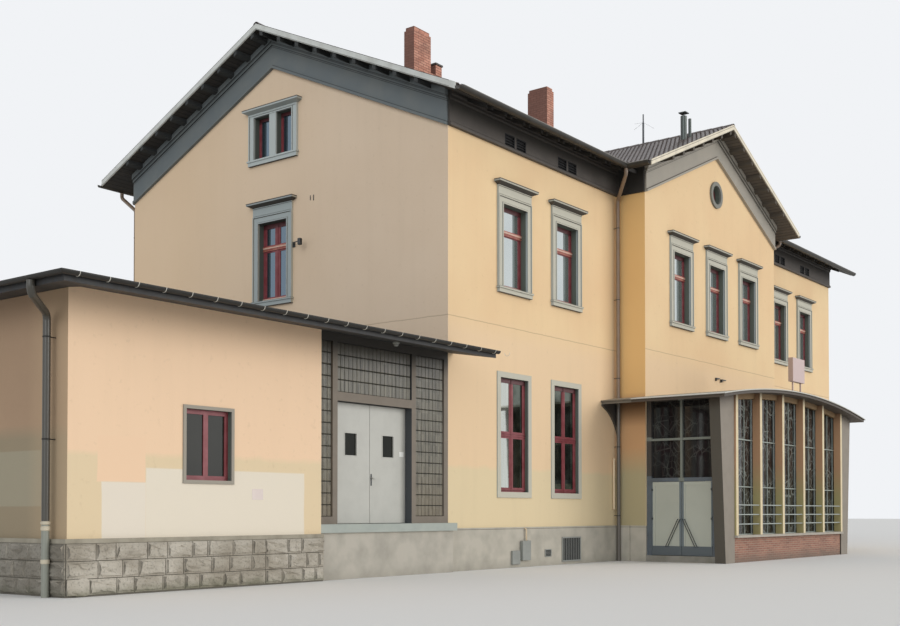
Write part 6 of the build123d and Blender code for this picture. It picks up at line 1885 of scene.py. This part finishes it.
    def surround(self, face: WallFace, span: Span, frieze: float) -> list[Piece]:
        """Run the beads round one architrave and under its hood.

        Args:
            face: The wall.
            span: The opening.
            frieze: Height of the panel between architrave and hood, or less than nothing.

        Returns:
            The beads.
        """
        left, right, foot, head = span
        near = self.architrave_proud - 0.01
        outer = self.architrave - 0.028
        top = head + min(outer, self.architrave + frieze - 0.05)
        grown = (left - outer, right + outer, foot, top)
        beads = face.border(span, 0.03, near, near + 0.024)
        beads += face.border(grown, 0.026, near, near + 0.03)
        hood = head + self.architrave + frieze
        if frieze > 0:
            line = (left - outer, right + outer, head + outer + 0.045, head + outer + 0.06)
            beads.append(face.bar(line, near, near + 0.022))
        line = (left - outer - 0.03, right + outer + 0.03, hood - 0.03, hood - 0.008)
        beads.append(face.bar(line, near, near + 0.035))
        return beads

    def surrounds(self) -> None:
        """Add the surrounds' beads, the lead on their hoods and dark strips as painted shade in
        their grooves.
        """
        beads, leads, grooves = [], [], []
        attic = (MAIN_MIDDLE - ATTIC_HALF, MAIN_MIDDLE + ATTIC_HALF, *ATTIC_STOREY)
        windows = [(f, s, self.hood_frieze) for f, spans in self.upper_walls() for s in spans]
        windows += [(face, attic, -self.architrave / 2) for face in (NEAR_GABLE, FAR_GABLE)]
        for face, span, frieze in windows:
            beads += self.surround(face, span, frieze)
            left, right, foot, head = span
            near = self.architrave_proud - 0.01
            # Dark strips in the architraves' grooves, painted shade.
            for step in (0.03, self.architrave - 0.044):
                top = head + min(step, self.architrave + frieze)
                grown = (left - step, right + step, foot, top)
                grooves += face.border(grown, 0.012, near, near + 0.013)
            top = head + self.architrave + frieze + 0.115
            reach = self.architrave + 0.13
            lead = (left - reach - 0.004, right + reach + 0.004, top - 0.012, top + 0.006)
            leads.append(face.bar(lead, 0.0, 0.196))
        fit(joined(beads), "surround_beads", Paint.TRIM)
        fit(joined(leads), "hood_leads", Paint.LEAD)
        fit(joined(grooves), "surround_grooves", Paint.GROOVE_SHADE)

    def build(self) -> None:
        """Glaze the windows and add their mouldings."""
        self.panes()
        self.transoms()
        self.sashes()
        self.surrounds()


@dataclass
class Fittings:
    """Lamps, service boxes, pipes, vents and straps on the outside of the walls."""

    strap_pitch: float = 0.56
    gutter: Point = (-11.2, -1.332, 5.165)
    clamp_heights: tuple[float, ...] = (1.3, 3.3, 5.3, 7.6, 9.7)
    lip_height: float = 11.292
    spyhole: tuple[float, float] = (2.65, 3.13)
    kick_plate: tuple[float, float] = (1.19, 1.41)

    def straps(self) -> None:
        """Hook the annex's front gutter with zinc straps, painted pale as their glints."""
        deselect()
        bpy.ops.mesh.primitive_torus_add(
            major_radius=0.0745,
            minor_radius=0.0055,
            major_segments=28,
            minor_segments=6,
            location=place(*self.gutter),
            rotation=(0, math.pi / 2, 0),
        )
        strap = settle(bpy.context.object)
        cut_upright(strap, (0, 0, self.gutter[2]), (0, 0, 1))
        repeat(strap, 22, (self.strap_pitch, 0, 0))
        fit(strap, "gutter_straps", Paint.ZINC_STRAP_GLINT)

    def gable_lamp(self) -> None:
        """Hang the yard lamp on its arm beside the gable's window."""
        pieces = [
            NEAR_GABLE.bar((5.12, 5.2, 8.46, 8.6), 0.0, 0.03),
            rod((-0.02, 5.16, 8.53), (-0.2, 4.95, 8.53), 0.014),
            rod((-0.2, 4.97, 8.53), (-0.24, 4.74, 8.53), 0.014),
            slab((-0.29, 4.67, 8.42), (-0.19, 4.77, 8.6), 0.02),
        ]
        fit(joined(pieces), "gable_lamp", Paint.LAMP)

    def soffit_lamp(self) -> None:
        """Fix the round lamp under the roof over the goods dock."""
        pieces = [
            rod((-2.63, -0.6, 5.07), (-2.63, -0.6, 5.13), 0.075, 24),
            rod((-2.63, -0.6, 5.03), (-2.63, -0.6, 5.07), 0.05, 24),
        ]
        fit(joined(pieces), "dock_lamp", Paint.BOX)

    def services(self) -> None:
        """Fix the boxes, the vents and the pipes along the plinth."""
        boxes = [
            PLINTH_FACE.bar((2.55, 2.9, 0.08, 0.43), 0.0, 0.06, 0.01),
            PLINTH_FACE.bar((2.97, 3.35, 0.17, 0.68), 0.0, 0.09, 0.01),
            PLINTH_FACE.bar((3.0, 3.32, 0.4, 0.42), 0.09, 0.094),
            PLINTH_FACE.bar((2.58, 2.87, 0.25, 0.262), 0.06, 0.064),
        ]
        fit(joined(boxes), "service_boxes", Paint.BOX)
        pipes = [
            rod((3.18, -0.11, 0.68), (3.18, -0.11, 0.97), 0.022),
            rod((3.18, -0.11, 0.97), (3.18, -0.02, 1.02), 0.022),
            rod((7.84, -0.05, 1.51), (7.84, -0.05, 2.96), 0.035, 16),
            rod((7.84, -0.05, 1.5), (7.84, -0.05, 1.56), 0.042, 16),
            rod((7.84, -0.05, 2.92), (7.84, -0.05, 2.98), 0.042, 16),
        ]
        fit(joined(pipes), "service_pipes", Paint.CREAM_PIPE)
        vent, cellar = (4.15, 4.41, 0.25, 0.41), (5.01, 5.9, 0.11, 0.71)
        # Near-black sheets in the vent and the cellar window, painted shade inside them.
        dark = [PLINTH_FACE.bar(span, -0.01, 0.004) for span in (vent, cellar)]
        fit(joined(dark), "cellar_voids", Paint.VOID_SHADE)
        grilles = PLINTH_FACE.border(vent, 0.022, 0.0, 0.022)
        grilles += PLINTH_FACE.border(cellar, 0.035, 0.0, 0.03)
        grilles.append(PLINTH_FACE.bar((4.13, 4.43, 0.228, 0.25), 0.0, 0.022))
        grilles.append(PLINTH_FACE.bar((4.97, 5.94, 0.075, 0.11), 0.0, 0.03))
        grilles += [
            PLINTH_FACE.bar((5.01 + step * 0.089, 5.022 + step * 0.089, 0.11, 0.71), 0.004, 0.016)
            for step in range(1, 10)
        ]
        grilles += [
            PLINTH_FACE.bar((4.15, 4.41, 0.27 + step * 0.035, 0.28 + step * 0.035), 0.004, 0.014)
            for step in range(4)
        ]
        fit(joined(grilles), "cellar_grilles", Paint.BOX)

    def small_things(self) -> None:
        """Add the notice's bare plate, the irons in the walls, gutter lips painted pale as their
        highlight, and mast radials.
        """
        notice = ANNEX_FACE.bar((-6.53, -6.24, 1.65, 1.86), 0.0, 0.004)
        fit(notice, "notice_plate", Paint.NOTICE)
        irons = [
            NEAR_GABLE.bar((4.44, 4.46, 9.6, 9.75), 0.0, 0.015),
            NEAR_GABLE.bar((4.56, 4.575, 9.62, 9.75), 0.0, 0.015),
            BAY_FACE.bar((12.78, 13.05, 5.69, 5.72), 0.0, 0.06),
            BAY_FACE.bar((12.78, 12.81, 5.62, 5.7), 0.0, 0.06),
            BAY_FACE.bar((13.15, 13.45, 5.67, 5.7), 0.0, 0.08),
            BAY_FACE.bar((13.15, 13.18, 5.6, 5.68), 0.0, 0.08),
        ]
        fit(joined(irons), "wall_irons", Paint.LAMP)
        runs = (
            ((-0.6, -0.92), (7.13, -0.92)),
            ((7.13, -1.54), (7.13, -0.92)),
            ((18.63, -0.92), (MAIN_LENGTH + 0.6, -0.92)),
            ((18.63, -1.54), (18.63, -0.92)),
        )
        # Pale beads along the gutters' front lips: real beads whose pale grey is a painted
        # highlight.
        rim = self.lip_height
        lips = [rod((*start, rim), (*end, rim), 0.009, 8) for start, end in runs]
        fit(joined(lips), "gutter_lips", Paint.LIP_HIGHLIGHT)
        mast = [rod((BAY_MIDDLE, 1.65, 13.7), (BAY_MIDDLE, 1.65, 14.5), 0.034)]
        for x, y in ((-0.42, 0.1), (0.38, -0.2), (0.1, 0.4)):
            tip = (BAY_MIDDLE + x, 1.65 + y, 14.36)
            mast.append(rod((BAY_MIDDLE, 1.65, 14.5), tip, 0.003, 6))
        fit(joined(mast), "mast_radials", Paint.MAST)

    def chimney_stub(self) -> None:
        """Build the low stack behind the first chimney, with its slab."""
        stack = slab((6.79, 5.72, 14.2), (7.1, 6.17, 15.56), 0.008)
        fit(stack, "chimney_stub", Paint.CHIMNEY)
        cap = slab((6.76, 5.69, 15.56), (7.13, 6.2, 15.62), 0.01)
        fit(cap, "chimney_stub_cap", Paint.LEAD)

    def collars(self) -> None:
        """Clamp the downpipes to the walls, and join the annex pipe to its pale foot."""
        clamps = []
        for height in self.clamp_heights:
            pipes = [(x, -0.14, 0.0) for x in (7.96, 17.8)]
            pipes += [(x, MAIN_DEPTH + 0.14, MAIN_DEPTH) for x in (0.14, MAIN_LENGTH - 0.14)]
            for x, y, wall in pipes:
                clamps.append(rod((x, y, height), (x, y, height + 0.035), 0.061, 20))
                clamps.append(rod((x, y, height + 0.018), (x, wall, height + 0.018), 0.01, 8))
        x, y = -10.815, 0.07
        for height in (2.6, 4.3):
            clamps.append(rod((x, y, height), (x, y, height + 0.04), 0.071, 20))
            clamps.append(rod((x, y, height + 0.02), (ANNEX_LEFT, y, height + 0.02), 0.01, 8))
        fit(joined(clamps), "pipe_clamps", Paint.GUTTER)
        collars = ((1.1, 1.18, 0.077), (1.2, 1.26, 0.08), (0.55, 0.63, 0.076))
        rings = [rod((x, y, foot), (x, y, head), radius, 20) for foot, head, radius in collars]
        fit(joined(rings), "pipe_collars", Paint.COLLAR)

    def goods_leaves(self) -> None:
        """Bead the goods door's panes and fix its kick plates, lock and bare plate."""
        leaves = (
            ("left", Body.GOODS_LEFT, (-3.4095, -3.0345, *self.spyhole), (-3.82, -2.62)),
            ("right", Body.GOODS_RIGHT, (-2.1655, -1.7905, *self.spyhole), (-2.58, -1.38)),
        )
        for side, body, pane, (left, right) in leaves:
            beads = DOOR_FACE.border(pane, 0.02, 0.0, 0.006)
            low = (pane[0] - 0.02, pane[1] + 0.02, pane[2] - 0.02, pane[2])
            beads.append(DOOR_FACE.bar(low, 0.0, 0.006))
            beads.append(DOOR_FACE.bar((left, right, *self.kick_plate), 0.0, 0.003))
            if side == "right":
                lock = DOOR_FACE.bar((-2.572, -2.525, 2.0, 2.26), 0.0, 0.004)
                fit(lock, "goods_leaf_right_lock", Paint.LAMP, body)
            fit(joined(beads), f"goods_leaf_{side}_beads", Paint.GOODS_DOOR, body)
        plate = DOOR_FACE.bar((-1.58, -1.43, 2.68, 2.79), 0.0, 0.003)
        fit(plate, "goods_leaf_right_plate", Paint.PLATE, Body.GOODS_RIGHT)

    def build(self) -> None:
        """Fix every fitting."""
        self.straps()
        self.gable_lamp()
        self.soffit_lamp()
        self.services()
        self.collars()
        self.small_things()
        self.chimney_stub()
        self.goods_leaves()


@dataclass
class Annex:
    """The low annex: overpainted render, split stone plinth and sheet roof."""

    course: float = (ANNEX_PLINTH_TOP - ANNEX_CAP) / 3
    joint: float = 0.014
    proud: float = 0.028
    clearance: float = 0.03

    def stones(self, start: Point, along: Axis, run: float, out: float) -> Piece:
        """Lay one face of the plinth in three courses of rock-faced stones.

        Args:
            start: The face's near lower corner on the plinth's plane.
            along: The direction of the run.
            run: Length of the face.
            out: Sign of the direction out of the wall on the other axis.

        Returns:
            The joined stones.
        """
        lengths = (0.44, 0.56, 0.36, 0.62, 0.5, 0.34, 0.58, 0.4, 0.66)
        stones = []
        for row in range(3):
            place_along = 0.0
            index = row * 3
            while place_along < run - 0.05:
                length = min(lengths[index % len(lengths)], run - place_along)
                foot = start[2] + row * self.course
                low = [start[0], start[1], max(foot + self.joint / 2, self.clearance)]
                high = [start[0], start[1], foot + self.course - self.joint / 2]
                low[along.value] += place_along + self.joint / 2
                high[along.value] += place_along + length - self.joint / 2
                across = 1 - along.value
                low[across] -= 0.02
                high[across] += 0.02
                stones.append(self.stone(tuple(low), tuple(high), across, out))
                place_along += length
                index += 1
        return joined(stones)

    def stone(self, low: Point, high: Point, across: int, out: float) -> Piece:
        """Shape one stone: a squared back, and a face split proud of its drafted edges."""
        piece = slab(low, high, 0)
        take(piece)
        for polygon in piece.data.polygons:
            polygon.select = polygon.normal[across] * out > 0.9
        bpy.ops.object.mode_set(mode="EDIT")
        bpy.ops.mesh.select_mode(type="FACE")
        shift = [0.0, 0.0, 0.0]
        shift[across] = out * self.proud
        bpy.ops.mesh.inset(thickness=0.015, depth=0)
        bpy.ops.mesh.inset(thickness=0.025, depth=0)
        bpy.ops.transform.translate(value=shift)
        bpy.ops.mesh.subdivide(number_cuts=3, fractal=1.1, seed=int(low[0] * 97 + low[2] * 31))
        bpy.ops.object.mode_set(mode="OBJECT")
        return piece

    def build(self) -> None:
        """Dress the annex and lay its plinth stones."""
        Paint.ANNEX.dress_nodes("annex_long_walls", "annex_end_wall")
        Paint.STONE_BED.dress_nodes("annex_plinth_end", "annex_plinth_long_sides")
        Paint.ROOFING.dress_nodes("annex_roof")
        front = ANNEX_FRONT - 0.06
        end = ANNEX_LEFT - 0.06
        rows = [
            self.stones((end, front, 0.0), Axis.X, DOCK_LEFT - end, -1),
            self.stones((end, front, 0.0), Axis.Y, ANNEX_BACK + 0.06 - front, -1),
            self.stones((end, ANNEX_BACK + 0.06, 0.0), Axis.X, -end, 1),
        ]
        fit(joined(rows), "annex_plinth_stones", Paint.STONE)


@dataclass
class GoodsDock:
    """Glass-block front with its concrete frame, the ledge and the goods door."""

    gap_x: float = 0.004
    gap_z: float = 0.009

    def blocks(
        self, left: float, right: float, foot: float, head: float, columns: int, rows: int
    ) -> Piece:
        """Lay one panel of glass blocks.

        Args:
            left: The panel's first place along the front.
            right: Its last place.
            foot: Its lowest height.
            head: Its highest height.
            columns: Blocks across.
            rows: Blocks up.

        Returns:
            The panel of blocks.
        """
        width = (right - left) / columns
        height = (head - foot) / rows
        low = (left + self.gap_x, 0.042, foot + self.gap_z)
        piece = slab(low, (left + width - self.gap_x, 0.1, foot + height - self.gap_z), 0)
        modify(piece, "BEVEL", width=0.01, segments=2, limit_method="ANGLE")
        repeat(piece, columns, (width, 0, 0))
        return repeat(piece, rows, (0, 0, height))

    def build(self) -> None:
        """Dress the dock and lay the glass blocks."""
        Paint.BLOCK_FRAME.dress_nodes("block_frame_head", "block_frames_side")
        Paint.BLOCK_JOINT.dress_nodes("glass_blocks")
        Paint.LEDGE.dress_nodes("dock_ledge")
        Paint.DOCK_PLINTH.dress_nodes("dock_plinth")
        Paint.GOODS_DOOR.dress_nodes("goods_door_left", "goods_door_right")
        Paint.PANE.dress_nodes("goods_door_pane_left", "goods_door_pane_right")
        panels = [
            self.blocks(-4.501, -3.990, 1.32, 5.04, 4, 15),
            self.blocks(-1.21, -0.15, 1.32, 5.04, 8, 15),
            self.blocks(-3.84, -1.36, 3.98, 5.04, 19, 4),
        ]
        fit(joined(panels), "glass_block_courses", Paint.BLOCK)


@dataclass
class Vestibule:
    """The glazed vestibule: piers, fins, brick base, glazing, screens and vault."""

    bays: int = 5
    first_light: float = 8.75
    light: float = 1.532
    fin_pitch: float = 1.682
    front: float = -3.264
    bar: float = 0.02
    bar_drop: float = 0.115
    rails: tuple[float, ...] = (0.77, 2.13, 3.48)
    split: float = 0.66
    beam_steps: int = 8
    beam_drop: float = 0.1
    beam_height: float = 0.17

    def glazing(self) -> None:
        """Set the shop front's thin bars between the fins, up to the vault."""
        bars = []
        for bay in range(self.bays):
            left = self.first_light + bay * self.fin_pitch
            right = left + self.light
            split = left + self.split * self.light
            for x in (left, split, right - self.bar):
                head = vault_height(x + self.bar / 2) - self.bar_drop
                low, high = (x, self.front + 0.035, self.rails[0]), (
                    x + self.bar, self.front + 0.06, head
                )
                bars.append(slab(low, high, 0))
            for z in self.rails:
                low, high = (left, self.front + 0.005, z), (right, self.front + 0.05, z + 0.028)
                bars.append(slab(low, high, 0))
        fit(joined(bars), "shop_front_bars", Paint.GLAZING, replaced=("glazing_frames",))
        beams = []
        run = self.light / self.beam_steps
        for bay in range(self.bays):
            for step in range(self.beam_steps):
                x = self.first_light + bay * self.fin_pitch + step * run
                top = vault_height(x + run / 2) - self.beam_drop
                foot = top - self.beam_height
                low, high = (x, self.front - 0.07, foot), (x + run, self.front + 0.03, top)
                beams.append(slab(low, high, 0))
        fit(joined(beams), "vault_beam", Paint.BEAM)

    def build(self) -> None:
        """Dress the vestibule's nodes."""
        Paint.PIER.dress_nodes("portal_piers")
        Paint.SILL.dress_nodes("window_sill")
        Paint.FIN.dress_nodes("mullion_fins")
        Paint.BASE_BRICK.dress_nodes("brick_base")
        Paint.FRAME_STEEL.dress_nodes(
            "screen_posts", "screen_windows", "canopy_brackets", "door_hinges"
        )
        self.glazing()
        Paint.RAIL.dress_nodes("guard_rails")
        Paint.ENTRANCE.dress_nodes(
            "entrance_door_left", "entrance_door_right", "fixed_side_doors"
        )
        Paint.LINED_PANE.dress_nodes("vestibule_glass")
        Paint.VAULT.dress_nodes("vault_roof")
        Paint.SIGN.dress_nodes("sign_box")


@dataclass
class Studio:
    """Camera, floor, soft lamps and pale surroundings."""

    focal_length: float = 46.99
    shift_up: float = 0.1956

    def camera(self) -> None:
        """Set the camera where the photograph was taken from."""
        data = bpy.data.cameras.new("camera")
        data.lens = self.focal_length
        data.sensor_width = 36
        data.shift_y = self.shift_up
        data.clip_end = 500
        camera = bpy.data.objects.new("camera", data)
        camera.location = place(-22.153, -17.076, 1.40)
        camera.rotation_euler = (math.radians(91.157), 0, math.radians(-52.473))
        bpy.context.scene.collection.objects.link(camera)
        bpy.context.scene.camera = camera

    def seen_white(self, tree: bpy.types.NodeTree, strength: float) -> Socket:
        """Return a background strength that is white to the eye and plain to the object."""
        path = add_node(tree, "ShaderNodeLightPath").outputs
        direct = path["Is Camera Ray"]
        for name in ("Is Glossy Ray", "Is Transmission Ray"):
            inputs = {0: direct, 1: path[name]}
            direct = add_node(tree, "ShaderNodeMath", inputs, operation="MAXIMUM").outputs[0]
        inputs = {"Value": direct, "To Min": strength, "To Max": 1.0}
        return add_node(tree, "ShaderNodeMapRange", inputs).outputs["Result"]

    def world(self) -> None:
        """Set pale surroundings."""
        world = bpy.data.worlds.new("surroundings")
        world.use_nodes = True
        background = world.node_tree.nodes["Background"]
        background.inputs["Color"].default_value = linear("#F1F3F6")
        strength = self.seen_white(world.node_tree, 0.62)
        world.node_tree.links.new(strength, background.inputs["Strength"])
        bpy.context.scene.world = world

    def floor(self) -> None:
        """Lay a pale floor that keeps the building's shadow."""
        deselect()
        bpy.ops.mesh.primitive_plane_add(size=500, location=(0, 0, -0.002))
        floor = bpy.context.object
        floor.name = "floor"
        settle(floor)
        material = bpy.data.materials.new("pale_floor")
        material.use_nodes = True
        shader = material.node_tree.nodes["Principled BSDF"]
        shader.inputs["Base Color"].default_value = linear("#E4E3E0")
        shader.inputs["Roughness"].default_value = 0.9
        floor.data.materials.append(material)

    def lamp(self, name: str, energy: float, colour: Point, tilt: float, turn: float) -> None:
        """Hang one large soft lamp.

        Args:
            name: The lamp's name.
            energy: Its strength.
            colour: Its colour.
            tilt: Degrees that it leans from straight down.
            turn: Degrees that it turns about the upright.
        """
        data = bpy.data.lights.new(name, "SUN")
        data.energy = energy
        data.angle = math.radians(40)
        data.color = colour
        lamp = bpy.data.objects.new(name, data)
        lamp.rotation_euler = (math.radians(tilt), 0, math.radians(turn))
        bpy.context.scene.collection.objects.link(lamp)

    def lamps(self) -> None:
        """Hang the key before the long front and a cooler fill beyond the annex."""
        self.lamp("key", 1.45, (1.0, 0.985, 0.96), 75, 28)
        self.lamp("fill", 0.8, (0.93, 0.97, 1.0), 70, -72)

    def build(self) -> None:
        """Set up the whole studio."""
        self.camera()
        self.world()
        self.floor()
        self.lamps()


def main() -> None:
    """Build the studio and each sub-assembly in order."""
    logging.basicConfig(level=logging.INFO, format="%(name)s: %(message)s")
    bpy.context.scene.view_settings.view_transform = "Standard"
    parts = (
        Studio(), Walls(), TiledRoofs(), Windows(), Annex(), GoodsDock(), Vestibule(), Fittings()
    )
    for part in parts:
        part.build()
        log.info("%s done", type(part).__name__)
    deselect()
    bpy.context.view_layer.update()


if __name__ == "__main__":
    main()
